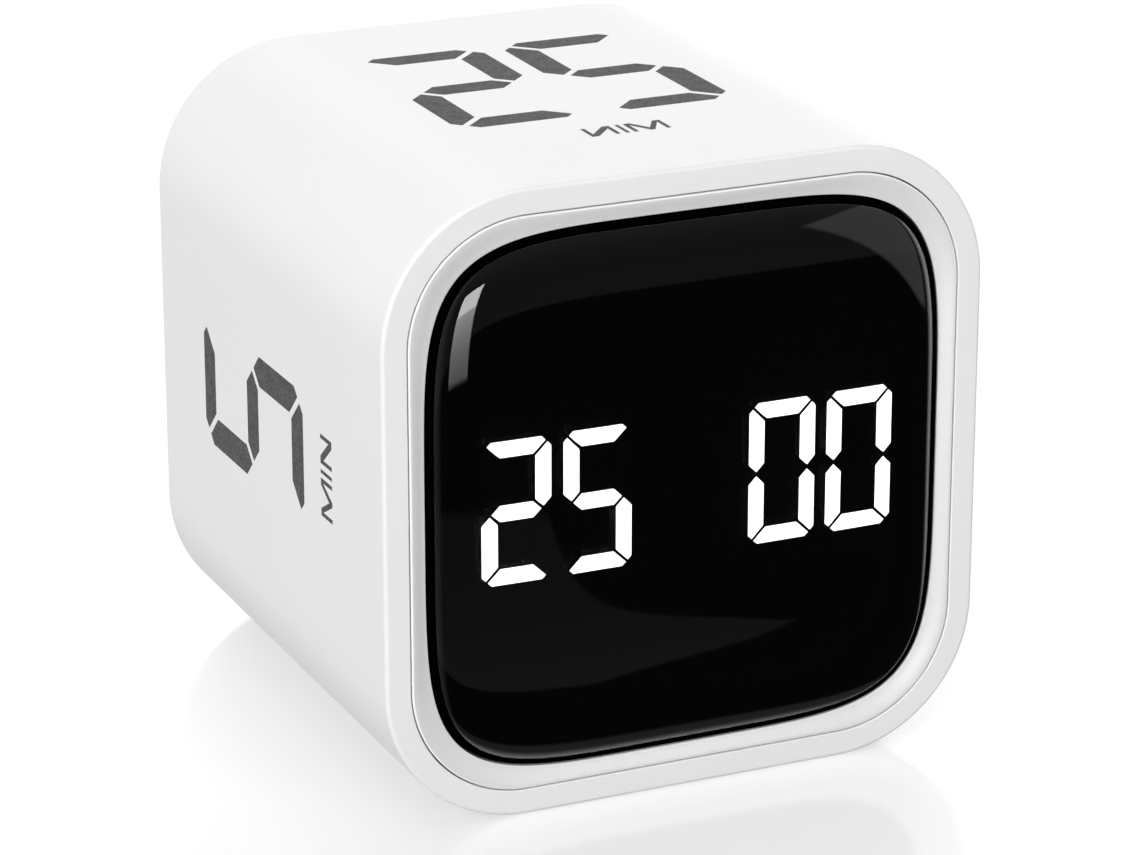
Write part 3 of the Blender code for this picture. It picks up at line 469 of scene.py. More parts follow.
class Surface(Nodes):
    """The node tree of one material, with the object's own coordinates at its start."""

    def __init__(self, name: str) -> None:
        """Starts a material with a plain Principled shader.

        Args:
            name: Name of the material.
        """
        self.material = bpy.data.materials.new(name)
        self.material.use_nodes = True
        super().__init__(self.material.node_tree)
        self.shader = self.tree.nodes["Principled BSDF"]
        self.place = self.add("ShaderNodeTexCoord").outputs["Object"]

    def noise(
        self, size: float, detail: float = 2.0, roughness: float = 0.5, place: Socket | None = None
    ) -> Socket:
        """Adds an even noise.

        Args:
            size: Width of its largest spots in metres.
            detail: How many finer layers it has.
            roughness: How strong the finer layers are.
            place: Coordinates, where they aren't the object's own.

        Returns:
            Its value, about 0.5 in the middle.
        """
        inputs = {"Vector": place or self.place, "Scale": 1 / size, "Detail": detail, "Roughness": roughness}
        return self.add("ShaderNodeTexNoise", inputs).outputs["Fac"]

    def cells(self, size: float, result: str, **settings: object) -> Socket:
        """Adds a pattern of cells of a size in metres."""
        inputs = {"Vector": self.place, "Scale": 1 / size}
        return self.add("ShaderNodeTexVoronoi", inputs, **settings).outputs[result]

    def red(self, colour: Socket) -> Socket:
        """Takes the red out of a colour."""
        return self.add("ShaderNodeSeparateColor", {"Color": colour}).outputs["Red"]

    def blend(self, share: Socket, first: Triple, second: Triple) -> Socket:
        """Mixes two colours by a share from 0 to 1."""
        inputs = {"Factor": share, 6: (*first, 1.0), 7: (*second, 1.0)}
        return self.add("ShaderNodeMix", inputs, data_type="RGBA").outputs[2]

    def relief(self, height: Socket, depth: float) -> None:
        """Lets a height texture bump the surface, by a depth in metres between its values 0 and 1."""
        bump = self.add("ShaderNodeBump", {"Distance": depth, "Height": height})
        self.feed(self.shader, {"Normal": bump.outputs["Normal"]})


made_materials: dict[str, bpy.types.Material] = {}


def shaded(tone: Triple, share: float) -> Triple:
    """Makes a colour darker or lighter by a share of itself."""
    return tuple(min(part * share, 1.0) for part in tone)


@dataclass(frozen=True)
class Finish:
    """A moulded or painted surface with its own grain, in metres."""

    name: str
    colour: Triple
    roughness: float
    metallic: float = 0.0
    specular: float = 0.5
    grain: float = 0.0000015
    grain_size: float = 0.00025
    unevenness: float = 0.03
    patch: float = 0.009
    wear: float = 0.14
    wear_fineness: float = 6.0

    def material(self) -> bpy.types.Material:
        """Gives the finish's material.

        Returns:
            The material, made at the first call.
        """
        if self.name not in made_materials:
            surface = Surface(self.name)
            self.dress(surface)
            made_materials[self.name] = surface.material
        return made_materials[self.name]

    def dress(self, surface: Surface) -> None:
        """Sets the shader from the finish's tone, shine and height.

        Args:
            surface: The material's node tree.
        """
        surface.feed(surface.shader, {
            "Metallic": self.metallic,
            "Specular IOR Level": self.specular,
            "Base Color": self.tone(surface),
            "Roughness": self.shine(surface),
        })
        surface.relief(self.height(surface), self.grain)

    def tone(self, surface: Surface) -> Socket:
        """Draws soft patches of a slightly darker and a slightly lighter colour."""
        patches = surface.span(surface.noise(self.patch, detail=3.0), *NOISE_RANGE)
        return self.shades(surface, patches, (1 - self.unevenness, 1 + self.unevenness / 2))

    def shades(self, surface: Surface, pattern: Socket, shares: Spot) -> Socket:
        """Draws a pattern in two shades of the colour, each given as a share of it."""
        return surface.blend(pattern, *(shaded(self.colour, share) for share in shares))

    def shine(self, surface: Surface) -> Socket:
        """Draws the roughness, with a little wear.

        Args:
            surface: The material's node tree.

        Returns:
            The roughness.
        """
        spread, size = self.roughness * self.wear, self.patch / self.wear_fineness
        low, high = self.roughness - spread, min(self.roughness + spread, 1.0)
        return surface.span(surface.noise(size, detail=4.0, roughness=0.6), *NOISE_RANGE, low, high)

    def height(self, surface: Surface) -> Socket:
        """Draws the grain."""
        return surface.noise(self.grain_size)


@dataclass(frozen=True)
class SparkedPlastic(Finish):
    """Moulded plastic with the fine spark-eroded grain of its mould."""

    spark_size: float = 0.00011
    spark_depth: float = 0.6
    coarser: float = 3.0

    def height(self, surface: Surface) -> Socket:
        """Draws fine pits over a coarser roughness.

        Args:
            surface: The material's node tree.

        Returns:
            The height.
        """
        pits = surface.cells(self.spark_size, "Distance", feature="SMOOTH_F1")
        fine = surface.maths("MULTIPLY", pits, self.spark_depth)
        return surface.maths("ADD", fine, surface.noise(self.grain_size * self.coarser))


@dataclass(frozen=True)
class PearlPaint(Finish):
    """Satin silver-white paint with fine metal flakes."""

    flake_size: float = 0.00006
    flake_shares: Spot = (0.97, 1.03)

    def tone(self, surface: Surface) -> Socket:
        """Draws flakes a little darker and lighter than the paint."""
        flakes = surface.red(surface.cells(self.flake_size, "Color"))
        return self.shades(surface, flakes, self.flake_shares)


@dataclass(frozen=True)
class SmokedPane(Finish):
    """Dark clear plastic, polished, with the faint ripple of a moulded window."""

    refraction: float = 1.49
    ripple: float = 0.004
    smear_edge: Spot = (0.45, 0.75)
    smear_share: float = 2.5

    def dress(self, surface: Surface) -> None:
        """Sets the glass and its ripple.

        Args:
            surface: The material's node tree.
        """
        smears = surface.noise(self.patch, detail=3.0, roughness=0.6)
        smeared = self.roughness * self.smear_share
        surface.feed(surface.shader, {
            "Base Color": (*self.colour, 1.0),
            "Transmission Weight": 1.0,
            "IOR": self.refraction,
            "Roughness": surface.span(smears, *self.smear_edge, self.roughness, smeared),
        })
        surface.relief(surface.noise(self.ripple, detail=0.0), self.grain)


@dataclass(frozen=True)
class GlowingBar(Finish):
    """A lit light guide, whitest over its light and even to its edges."""

    strength: float = 20.0
    spot: float = 0.0035
    edge_light: Triple = (0.93, 0.95, 1.0)
    core_light: Triple = (1.0, 1.0, 1.0)

    def dress(self, surface: Surface) -> None:
        """Adds the light that the guide gives.

        Args:
            surface: The material's node tree.
        """
        super().dress(surface)
        glow = surface.span(surface.noise(self.spot, detail=1.0), *NOISE_RANGE)
        colour = surface.blend(glow, self.edge_light, self.core_light)
        surface.feed(surface.shader, {"Emission Strength": self.strength, "Emission Color": colour})


@dataclass(frozen=True)
class PrintedInk(Finish):
    """Pad-printed grey ink, with the plastic's grain showing through as fine speckle."""

    speckle: float = 0.00022
    speckle_edge: Spot = (0.40, 0.60)
    speckle_shares: Spot = (0.5, 1.6)

    def tone(self, surface: Surface) -> Socket:
        """Draws the speckle."""
        return self.shades(surface, self.height(surface), self.speckle_shares)

    def height(self, surface: Surface) -> Socket:
        """Draws the dots where the ink lies thicker."""
        return surface.span(surface.noise(self.speckle, detail=3.0, roughness=0.7), *self.speckle_edge)


@dataclass(frozen=True)
class BrushedMetal(Finish):
    """Metal with fine lines that run one way."""

    line: float = 0.00005
    stretch: Triple = (1.0, 14.0, 14.0)
    shine_shares: Spot = (0.8, 1.25)

    def height(self, surface: Surface) -> Socket:
        """Draws a noise stretched into lines."""
        turned = surface.add("ShaderNodeMapping", {"Vector": surface.place, "Scale": self.stretch})
        return surface.noise(self.line * max(self.stretch), detail=3.0, place=turned.outputs["Vector"])

    def shine(self, surface: Surface) -> Socket:
        """Draws the same lines into the roughness."""
        ends = (self.roughness * share for share in self.shine_shares)
        return surface.span(self.height(surface), *NOISE_RANGE, *ends)


@dataclass(frozen=True)
class CircuitLacquer(Finish):
    """Lacquer over copper tracks, which show as paler lines."""

    track: float = 0.0011
    track_edge: Spot = (0.80, 0.86)
    bands: float = 3.18
    field: float = 5.0
    field_edge: Spot = (0.49, 0.51)
    copper: Triple = (0.035, 0.15, 0.06)

    def height(self, surface: Surface) -> Socket:
        """Draws tracks across and up, in fields that a coarse pattern picks.

        Args:
            surface: The material's node tree.

        Returns:
            The height, 1 on the tracks.
        """
        # The wave pattern has 20 / 2 pi bands in one of its units
        inputs = {"Vector": surface.place, "Scale": 1 / self.track / self.bands, "Distortion": 0.0}
        waves = [surface.add("ShaderNodeTexWave", inputs, bands_direction=way) for way in ("X", "Z")]
        across, up = (surface.span(wave.outputs["Fac"], *self.track_edge) for wave in waves)
        field = surface.red(surface.cells(self.track * self.field, "Color", distance="CHEBYCHEV"))
        picked = surface.span(field, *self.field_edge)
        return surface.add("ShaderNodeMix", {"Factor": picked, 2: across, 3: up}).outputs[0]

    def tone(self, surface: Surface) -> Socket:
        """Colours the tracks."""
        return surface.blend(self.height(surface), self.colour, self.copper)


@dataclass(frozen=True)
class CellFoam(Finish):
    """Soft black foam with open cells."""

    cell: float = 0.0003
    # Painted shade: the pits of the cells are darkened to this share of the foam's colour
    painted_shade_shares: Spot = (0.3, 1.0)

    def height(self, surface: Surface) -> Socket:
        """Draws the cells."""
        return surface.cells(self.cell, "Distance")

    def tone(self, surface: Surface) -> Socket:
        """Darkens the depths of the cells with painted shade."""
        return self.shades(surface, self.height(surface), self.painted_shade_shares)


def grey(tone: float) -> Triple:
    """Gives a grey."""
    return (tone, tone, tone)


WHITE = SparkedPlastic("white_shell_plastic", (0.88, 0.88, 0.875), 0.42, grain=0.0000008, unevenness=0.006)
SILVER = PearlPaint("pearl_silver_paint", grey(0.83), 0.36, metallic=0.12, grain=0.0000002)
# The bevel's paint is a lighter copy of the ring's silver: a painted highlight along the ring's outer edge.
# Its lower roughness is its own.
PAINTED_HIGHLIGHT_EDGE = PearlPaint("bright_bevel_paint", grey(0.95), 0.22, grain=0.0000001)
BAND_BLACK = Finish("black_frame_plastic", grey(0.0006), 0.50, specular=0.0, grain=0.0000002)
BORDER_BLACK = Finish("black_border_print", grey(0.001), 0.8, specular=0.0)
PANE = SmokedPane("smoked_window_plastic", (0.10, 0.10, 0.102), 0.004, grain=0.00000006, patch=0.012)
LIT = GlowingBar("lit_bar", grey(0.9), 0.5)
UNLIT = Finish("unlit_bar", (0.010, 0.010, 0.0102), 0.55, specular=0.1)
MASK_BLACK = Finish("mask_black", grey(0.004), 0.7, specular=0.1)
WHITE_BLOCK = SparkedPlastic("white_reflector_plastic", (0.88, 0.88, 0.87), 0.5)
INK = PrintedInk("grey_printing_ink", (0.058, 0.058, 0.059), 0.6, specular=0.2, grain=0.000002)
KEY_GREY = SparkedPlastic("key_grey_plastic", grey(0.55), 0.45, grain=0.000001, unevenness=0.01)
KNOB_GREY = SparkedPlastic("knob_grey_plastic", (0.30, 0.30, 0.305), 0.48, grain=0.000001, unevenness=0.01)
STEEL = BrushedMetal("brushed_steel", (0.60, 0.60, 0.59), 0.28, metallic=1.0, grain=0.0000008)
SCREW_STEEL = BrushedMetal("zinc_screw_steel", (0.52, 0.52, 0.53), 0.24, metallic=1.0, grain=0.0000006)
GOLD = BrushedMetal("gold_contact", (0.86, 0.62, 0.28), 0.22, metallic=1.0, grain=0.0000004)
TIN = BrushedMetal("tinned_lead", (0.66, 0.66, 0.65), 0.32, metallic=1.0, grain=0.0000012)
LACQUER = CircuitLacquer("circuit_lacquer", (0.012, 0.075, 0.030), 0.26, grain=0.000008)
PACKAGE = Finish("black_chip_package", (0.018, 0.018, 0.019), 0.5, grain=0.000003, grain_size=0.00012)
FOAM = CellFoam("black_foam", grey(0.03), 0.9, grain=0.0001)
POUCH = BrushedMetal(
    "silver_pouch_foil", (0.70, 0.71, 0.73), 0.36, metallic=0.85, grain=0.000004, stretch=(4.0, 1.0, 1.0)
)
CREAM = Finish("cream_nylon", (0.80, 0.74, 0.58), 0.42)
RED = Finish("red_lead_sleeve", (0.45, 0.02, 0.015), 0.40)
BLACK = Finish("black_lead_sleeve", grey(0.015), 0.42)
LIGHT_CHIP = Finish("yellow_white_phosphor", (0.85, 0.78, 0.45), 0.4)
CERAMIC = Finish("brown_ceramic", (0.30, 0.19, 0.11), 0.35)


# What repeats


class Copies(Nodes):
    """A Geometry Nodes tree that sets out copies of a small form, realizes them and gives them a material."""

    def __init__(self, name: str, points: str, sizes: dict[str, tuple[str, str]], **settings: object) -> None:
        """Builds the tree with its named sizes.

        Args:
            name: Name of the tree.
            points: Type of the node that gives the places.
            sizes: Kind of each named size, and the input of that node which it feeds.
            **settings: Properties of that node.
        """
        super().__init__(bpy.data.node_groups.new(name, "GeometryNodeTree"))
        ways = self.tree.interface
        ways.new_socket("Geometry", in_out="OUTPUT", socket_type="NodeSocketGeometry")
        kinds = {"Form": "Object", "Finish": "Material"} | {title: kind for title, (kind, _) in sizes.items()}
        self.names = {
            title: ways.new_socket(title, in_out="INPUT", socket_type="NodeSocket" + kind).identifier
            for title, kind in kinds.items()
        }
        given = self.add("NodeGroupInput").outputs
        spots = self.add(points, {target: given[title] for title, (_, target) in sizes.items()}, **settings)
        places = next(output for output in spots.outputs if output.type == "GEOMETRY")
        form = self.add("GeometryNodeObjectInfo", {"Object": given["Form"]}).outputs["Geometry"]
        copies = self.add("GeometryNodeInstanceOnPoints", {"Points": places, "Instance": form}).outputs[0]
        real = self.add("GeometryNodeRealizeInstances", {"Geometry": copies}).outputs[0]
        inputs = {"Geometry": real, "Material": given["Finish"]}
        dressed = self.add("GeometryNodeSetMaterial", inputs).outputs[0]
        self.add("NodeGroupOutput", {"Geometry": dressed})

    def make(self, name: str, seed: bpy.types.Object, finish: Finish, **sizes: object) -> bpy.types.Object:
        """Sets out the copies of a form.

        Args:
            name: Name of the piece.
            seed: The form, drawn about the origin. It goes afterwards.
            finish: Finish of all copies.
            **sizes: The tree's named sizes.

        Returns:
            The piece, as one plain mesh.
        """
        smooth(seed)
        helpers = [seed]
        if "Spots" in sizes:
            dots = bpy.data.meshes.new(name + "_spots")
            dots.from_pydata(sizes["Spots"], [], [])
            sizes["Spots"] = linked(name + "_spots", dots)
            helpers.append(sizes["Spots"])
        piece = linked(name, bpy.data.meshes.new(name))
        step = piece.modifiers.new("copies", "NODES")
        step.node_group = self.tree
        for title, value in {"Form": seed, "Finish": finish.material(), **sizes}.items():
            step[self.names[title]] = value
        bake(piece)
        for helper in helpers:
            bpy.data.objects.remove(helper)
        return piece


ROW_COPIES = Copies(
    "copies_in_a_row",
    "GeometryNodeMeshLine",
    {"Count": ("Int", "Count"), "Start": ("Vector", "Start Location"), "Step": ("Vector", "Offset")},
)
SPOT_COPIES = Copies("copies_at_spots", "GeometryNodeObjectInfo", {"Spots": ("Object", "Object")})


def row(centre: Triple, step: Triple, count: int) -> dict[str, object]:
    """Gives the named sizes of a row of copies about a place."""
    start = Vector(centre) - Vector(step) * (count - 1) / 2
    return {"Count": count, "Start": tuple(start), "Step": step}


# Seven-bar figures


class Bar(Enum):
    """The seven bars of a figure."""

    TOP, UPPER_RIGHT, LOWER_RIGHT, BOTTOM, LOWER_LEFT, UPPER_LEFT, MIDDLE = range(7)


UNUSED_BARS = {
    "0": {Bar.MIDDLE},
    "1": set(Bar) - {Bar.UPPER_RIGHT, Bar.LOWER_RIGHT},
    "2": {Bar.UPPER_LEFT, Bar.LOWER_RIGHT},
    "5": {Bar.UPPER_RIGHT, Bar.LOWER_LEFT},
}


@dataclass(frozen=True)
class Figure:
    """The proportions of a seven-bar figure."""

    width: float
    height: float
    thick: float
    corner: float
    gap: float

    def bars(self) -> dict[Bar, Outline]:
        """Draws the seven bars about the figure's middle.

        Returns:
            An outline for each bar.
        """
        a, b, t = self.width / 2, self.height / 2, self.thick
        mitre, cut = self.gap / 2**0.5, self.corner / 2
        half_top = [(a - t - mitre, b - t), (a - cut - mitre / 2, b - cut + mitre / 2), (a - cut * 2, b)]
        top = np.array(half_top + [(-x, z) for x, z in reversed(half_top)])
        side = np.array([
            (a, b - cut * 2),
            (a - cut + mitre / 2, b - cut - mitre / 2),
            (a - t, b - t - mitre),
            (a - t, mitre + t / 2),
            (a - t / 2, mitre),
            (a, mitre + t / 2),
        ])
        tip = a - t / 2 - mitre
        half_middle = np.array([(tip, 0), (tip - t / 2, t / 2), (t / 2 - tip, t / 2)])
        return {
            Bar.TOP: top,
            Bar.UPPER_RIGHT: side,
            Bar.LOWER_RIGHT: side * (1, -1),
            Bar.BOTTOM: top * (1, -1),
            Bar.LOWER_LEFT: side * -1,
            Bar.UPPER_LEFT: side * (-1, 1),
            Bar.MIDDLE: np.concatenate([half_middle, -half_middle]),
        }


DISPLAY_FIGURE = Figure(width=0.0068, height=0.01376, thick=0.0016, corner=0.00092, gap=0.00025)
PRINTED_FIGURE = Figure(width=0.01304, height=0.02665, thick=0.0030, corner=0.00215, gap=0.00065)


def letter_m(width: float, height: float, stroke: float, edge: float, shares: Triple) -> Outline:
    """Draws an M.

    Args:
        width: Its width.
        height: Its height.
        stroke: Width of its legs.
        edge: Width of its upper corners.
        shares: Shares of its height: where a leg's inside ends, and where its middle ends below and above.

    Returns:
        Its outline, from its lower left corner.
    """
    leg, low, high = shares
    left = [(0, 0), (stroke, 0), (stroke, leg * height), ((width - stroke) / 2, low * height)]
    right = [(width - x, z) for x, z in reversed(left)]
    top = [(width, height), (width - edge, height), (width / 2, high * height), (edge, height), (0, height)]
    return np.array([*left, *right, *top])


# Sleeve and its printed times


@dataclass
class Sleeve:
    """The white square tube that everything sits in."""

    rim_radius: float = 0.00038
    bore_edge: float = 0.00010
    ledge_in: float = 0.0041
    ledge_thick: float = 0.0015
    ledge_width: float = 0.00215
    boss_radius: float = 0.0030
    boss_top: float = 0.0257
    boss_length: float = 0.0120
    rib_thick: float = 0.0016
    rib_drop: float = 0.0027
    rib_bite: float = 0.0004
    hole_radius: float = 0.0012
    hole_depth: float = 0.0077

    def build(self) -> None:
        """Builds the tube with its ledge, corner bosses and ribs."""
        piece, spots = self._tube(), corners(CUBE.screw_spot, CUBE.screw_spot)
        top, start = self.boss_top, self.boss_top - self.boss_length
        combine(piece, Form().plates(circle(self.boss_radius, steps=40), start, top, *spots), "UNION")
        combine(piece, self._ribs(start), "UNION")
        holes = Form().plates(circle(self.hole_radius, steps=28), top - self.hole_depth, top + PAST, *spots)
        combine(piece, holes, "DIFFERENCE")
        smooth(piece)
        settle(piece, "white_plastic", WHITE, stands_for=("main_shell",))

    def _tube(self) -> bpy.types.Object:
        """Makes the tube from one closed profile, carried round its outline.

        Returns:
            The piece.
        """

        def outer(inset: float) -> Outline:
            """Draws the tube's outline, moved inwards."""
            return square_outline(CUBE.side / 2 - CUBE.ink - inset, CUBE.edge_radius - inset)

        def bore(inset: float) -> Outline:
            """Draws the bore's outline, moved outwards."""
            return outer(CUBE.wall - inset)

        front, back = CUBE.front, CUBE.front + CUBE.depth
        ledge, tip = front + self.ledge_in, bore(-self.ledge_width)
        under = ledge + self.ledge_thick
        rings = eased(outer, front, self.rim_radius, steps=8, way=-1)[::-1]
        rings += eased(outer, back, self.rim_radius, steps=8)
        rings += eased(bore, back, self.bore_edge, steps=3)[::-1]
        rings += [(bore(0), under), (tip, under), (tip, ledge), (bore(0), ledge)]
        rings += eased(bore, front, self.bore_edge, steps=3, way=-1)
        return Form().loft(rings, ends=False).thing("cube_sleeve")

    def _ribs(self, start: float) -> Form:
        """Makes the web from each boss to the round corner of the wall.

        Args:
            start: Y of its front end.

        Returns:
            The four webs.
        """
        ribs, near, side = Form(), CUBE.screw_spot, self.rib_thick / 2 / 2**0.5
        reach = CUBE.bore_half - CUBE.bore_radius + (CUBE.bore_radius + self.rib_bite) / 2**0.5
        inner, outer = (near + side, near - side), (reach + side, reach - side)
        web = np.array([inner, outer, outer[::-1], inner[::-1]])
        for way in ((-1, -1), (-1, 1), (1, -1), (1, 1)):
            ribs.plates(web * way, start, self.boss_top - self.rib_drop, CENTRE)
        return ribs


class Side(Enum):
    """The four sides that carry a printed time: outward direction, with the reading direction across."""

    TOP = ((0, 0, 1), (1, 0, 0))
    LEFT = ((-1, 0, 0), (0, 0, 1))
    RIGHT = ((1, 0, 0), (0, 0, -1))
    UNDERSIDE = ((0, 0, -1), (-1, 0, 0))


@dataclass
class PrintedTime:
    """A time in minutes, printed on one side, with the letters MIN in front of it."""

    side: Side
    figures: str
    shift: float = 0.0
    mirrored: bool = False
    pitch: float = 0.0152
    centre: float = 0.0044
    letter_starts: Triple = (-0.00399, 0.00018, 0.00113)
    letter_widths: Triple = (0.0037, 0.00037, 0.00286)
    letter_height: float = 0.0028
    letter_foot: float = -0.0161
    stroke: float = 0.00042
    corner: float = 0.0007
    letter_shares: Triple = (0.8, 0.0, 0.28)
    sunk: float = 0.00001

    def build(self) -> None:
        """Prints the figures and the letters."""
        form, bars = Form(), PRINTED_FIGURE.bars()
        drawn = [
            outline + (number * self.pitch, self.centre)
            for number, figure in enumerate(self.figures)
            for bar, outline in bars.items()
            if bar not in UNUSED_BARS[figure]
        ]
        reach = np.concatenate(drawn)[:, 0]
        middle = (self.shift - (reach.min() + reach.max()) / 2, 0.0)
        out, across = np.array(self.side.value, float)
        plane = np.array([across, (0.0, 1.0, 0.0)])
        for shape in [outline + middle for outline in drawn] + self._letters():
            flat = shape @ plane + (0.0, 0.0, CUBE.middle)
            form.solid([flat + out * (CUBE.side / 2 - sunk) for sunk in (self.sunk, 0.0)])
        settle(form.thing("printed_time_" + self.side.name.lower()), "grey_plastic", INK)

    def _letters(self) -> list[Outline]:
        """Draws M, I and N.

        Returns:
            One outline for each letter, in its place on the side.
        """
        h, s, e = self.letter_height, self.stroke, self.corner
        m, i, n = self.letter_widths
        half_n = [(0, 0), (s, 0), (s, h - self.letter_shares[2] * h), (n - e, 0), (n, 0)]
        letters = (
            letter_m(m, h, s, e, self.letter_shares),
            [(0, 0), (i, 0), (i, h), (0, h)],
            half_n + [(n - x, h - z) for x, z in half_n],
        )
        way = (-1.0 if self.mirrored else 1.0, 1.0)
        return [
            (np.array(letter) + (start, 0.0)) * way + (self.shift, self.letter_foot)
            for letter, start in zip(letters, self.letter_starts)
        ]


# Front: bezel, frame, window, figures


@dataclass
class FrontBezel:
    """The satin ring that lies in the sleeve's mouth and slopes down to the window."""

    thick: float = 0.0020
    edge: float = 0.00014
    land: float = 0.00006
    dish: float = 0.00035
    lip: float = 0.00010
    even: float = 0.45
    steps: int = 8

    def build(self) -> None:
        """Builds the ring, whose slope is partly even and partly soft at both ends."""
        front = CUBE.front
        bevel = eased(lambda inset: bore_outline(CUBE.seam + inset), front, self.edge, steps=5, way=-1)
        rings = [(bore_outline(CUBE.seam), front + self.thick), *bevel]
        start, end = bore_outline(CUBE.seam + self.edge + self.land), window_outline(-self.lip)
        for share in np.linspace(0, 1, self.steps + 1):
            fall = self.even * share + (1 - self.even) * share * share * (3 - 2 * share)
            rings.append((start + (end - start) * share, front + self.dish * fall))
        lip = eased(lambda inset: window_outline(-inset), front + self.dish, self.lip, steps=4, way=-1)
        rings += [*lip[-2::-1], (window_outline(), front + self.thick)]
        form, count = Form().loft(rings, ends=False), len(start)
        # The bevel takes slot 1, the lighter paint that is a painted highlight along the ring's outer edge
        form.slots[count : count * len(bevel)] = [1] * (count * (len(bevel) - 1))
        piece = form.thing("window_bezel")
        smooth(piece, crease=50)
        settle(piece, "satin_silver", SILVER, PAINTED_HIGHLIGHT_EDGE, stands_for=("front_bezel",))


@dataclass
class WindowFrame:
    """The black carrier: its lip shows as the band round the window."""

    band_in: float = 0.0003
    band_gap: float = 0.0002
    band_width: float = 0.00068
    pocket_in: float = 0.0017
    flange_in: float = 0.0023
    flange: float = 0.0015
    opening: float = 0.0216
    boss_radius: float = 0.0020
    boss_place: float = 0.0198
    boss_top_in: float = 0.0065
    boss_length: float = 0.0031
    hole_radius: float = 0.0010
    hole_depth: float = 0.0033
    edge: float = 0.00005

    def build(self) -> None:
        """Builds the carrier with its four bosses."""
        front = CUBE.front
        flange, opening = bore_outline(CUBE.gap), window_outline() * (self.opening / CUBE.window_half)
        outer, inner = window_outline(self.band_gap), window_outline(self.band_width)
        face, start, end = front + self.band_in, front + self.flange_in, front + self.flange_in + self.flange
        rings = eased(lambda inset: window_outline(self.band_gap + inset), face, self.edge, steps=3, way=-1)
        lip = eased(lambda inset: window_outline(self.band_width - inset), face, self.edge, steps=3, way=-1)
        rings += [*lip[::-1], (inner, front + self.pocket_in), (opening, front + self.pocket_in)]
        rings += [(opening, end), (flange, end), (flange, start), (outer, start)]
        piece = Form().loft(rings, ends=False).thing("window_frame")
        spots, top = corners(self.boss_place, self.boss_place), front + self.boss_top_in
        bosses = Form().plates(circle(self.boss_radius, steps=32), top - self.boss_length, top, *spots)
        combine(piece, bosses, "UNION")
        holes = Form().plates(circle(self.hole_radius, steps=24), top - self.hole_depth, top + PAST, *spots)
        combine(piece, holes, "DIFFERENCE")
        smooth(piece)
        settle(piece, "black_plastic", BAND_BLACK, stands_for=("lens_frame",))


@dataclass
class WindowPane:
    """The smoked window: a pillow-shaped face over a shallow pocket, polished all round."""

    inset: float = 0.00078
    edge_in: float = 0.0001
    back_in: float = 0.0014
    thick: float = 0.0012
    rim_width: float = 0.00345
    draft: float = 0.0003
    chamfer: float = 0.0001
    power: float = 5.0
    roundness: float = 1.7
    crowding: float = 2.2
    steps: int = 56
    shy: float = 0.000003

    def depth(self, share: float) -> float:
        """Gives the face's depth behind the front rim at a share of the way out from its centre."""
        rise = (CUBE.window_rise - self.shy + self.edge_in) * (1 - share**self.power) ** (1 / self.roundness)
        return self.edge_in - rise

    def build(self) -> None:
        """Builds the pane, with rings that lie closer where the face turns down."""
        front, half = CUBE.front, CUBE.window_half - self.inset
        edge = window_outline(self.inset, square_outline(CUBE.bore_half, CUBE.bore_radius, 40, 20))
        shares = [1 - (1 - k / self.steps) ** self.crowding for k in range(1, self.steps + 1)]
        rings = [(edge * share, front + self.depth(share)) for share in shares]
        rings += [
            (edge, front + self.back_in - self.chamfer),
            (edge * (1 - self.chamfer / half), front + self.back_in),
            (edge * (1 - self.rim_width / half), front + self.back_in),
            (edge * (1 - (self.rim_width + self.draft) / half), front + self.thick - CUBE.window_rise),
        ]
        form = Form().loft(rings)
        # The border behind the face is printed black: its two bands come just before the two end faces
        border = len(edge) * 2
        form.slots[-2 - border : -2] = [1] * border
        piece = form.thing("smoked_window")
        smooth(piece, crease=40)
        settle(piece, "smoked_window", PANE, BORDER_BLACK, stands_for=("front_lens",))


@dataclass
class LitFigure:
    """One figure of the display: a thin web with seven bars, of which some are lit."""

    node: str
    place: float
    shown: str
    web_in: float = 0.0011
    web: float = 0.0006
    web_corner: float = 0.0003
    pitch: float = 0.00795
    margin: float = 0.0004
    clearance: float = 0.00005

    def build(self) -> None:
        """Builds the web and the bars."""
        start, spot = CUBE.front + self.web_in, (self.place, CUBE.middle)
        size = (self.pitch - CUBE.gap, DISPLAY_FIGURE.height + self.margin * 2)
        web = rounded_box(*size, self.web_corner, steps=3)
        form = Form().plates(web, start, start + self.web, spot, slot=1)
        for bar, outline in DISPLAY_FIGURE.bars().items():
            middle = (outline.max(axis=0) + outline.min(axis=0)) / 2
            drawn = middle + (outline - middle) * (1 - self.clearance * 2 / np.ptp(outline, axis=0))
            slot = int(bar in UNUSED_BARS[self.shown])
            form.plates(drawn, CUBE.front, start + self.web / 2, spot, slot=slot)
        settle(form.thing("lit_" + self.node), "lit_segment", LIT, UNLIT, stands_for=(self.node,))


# Back: cover, keys, slide, socket


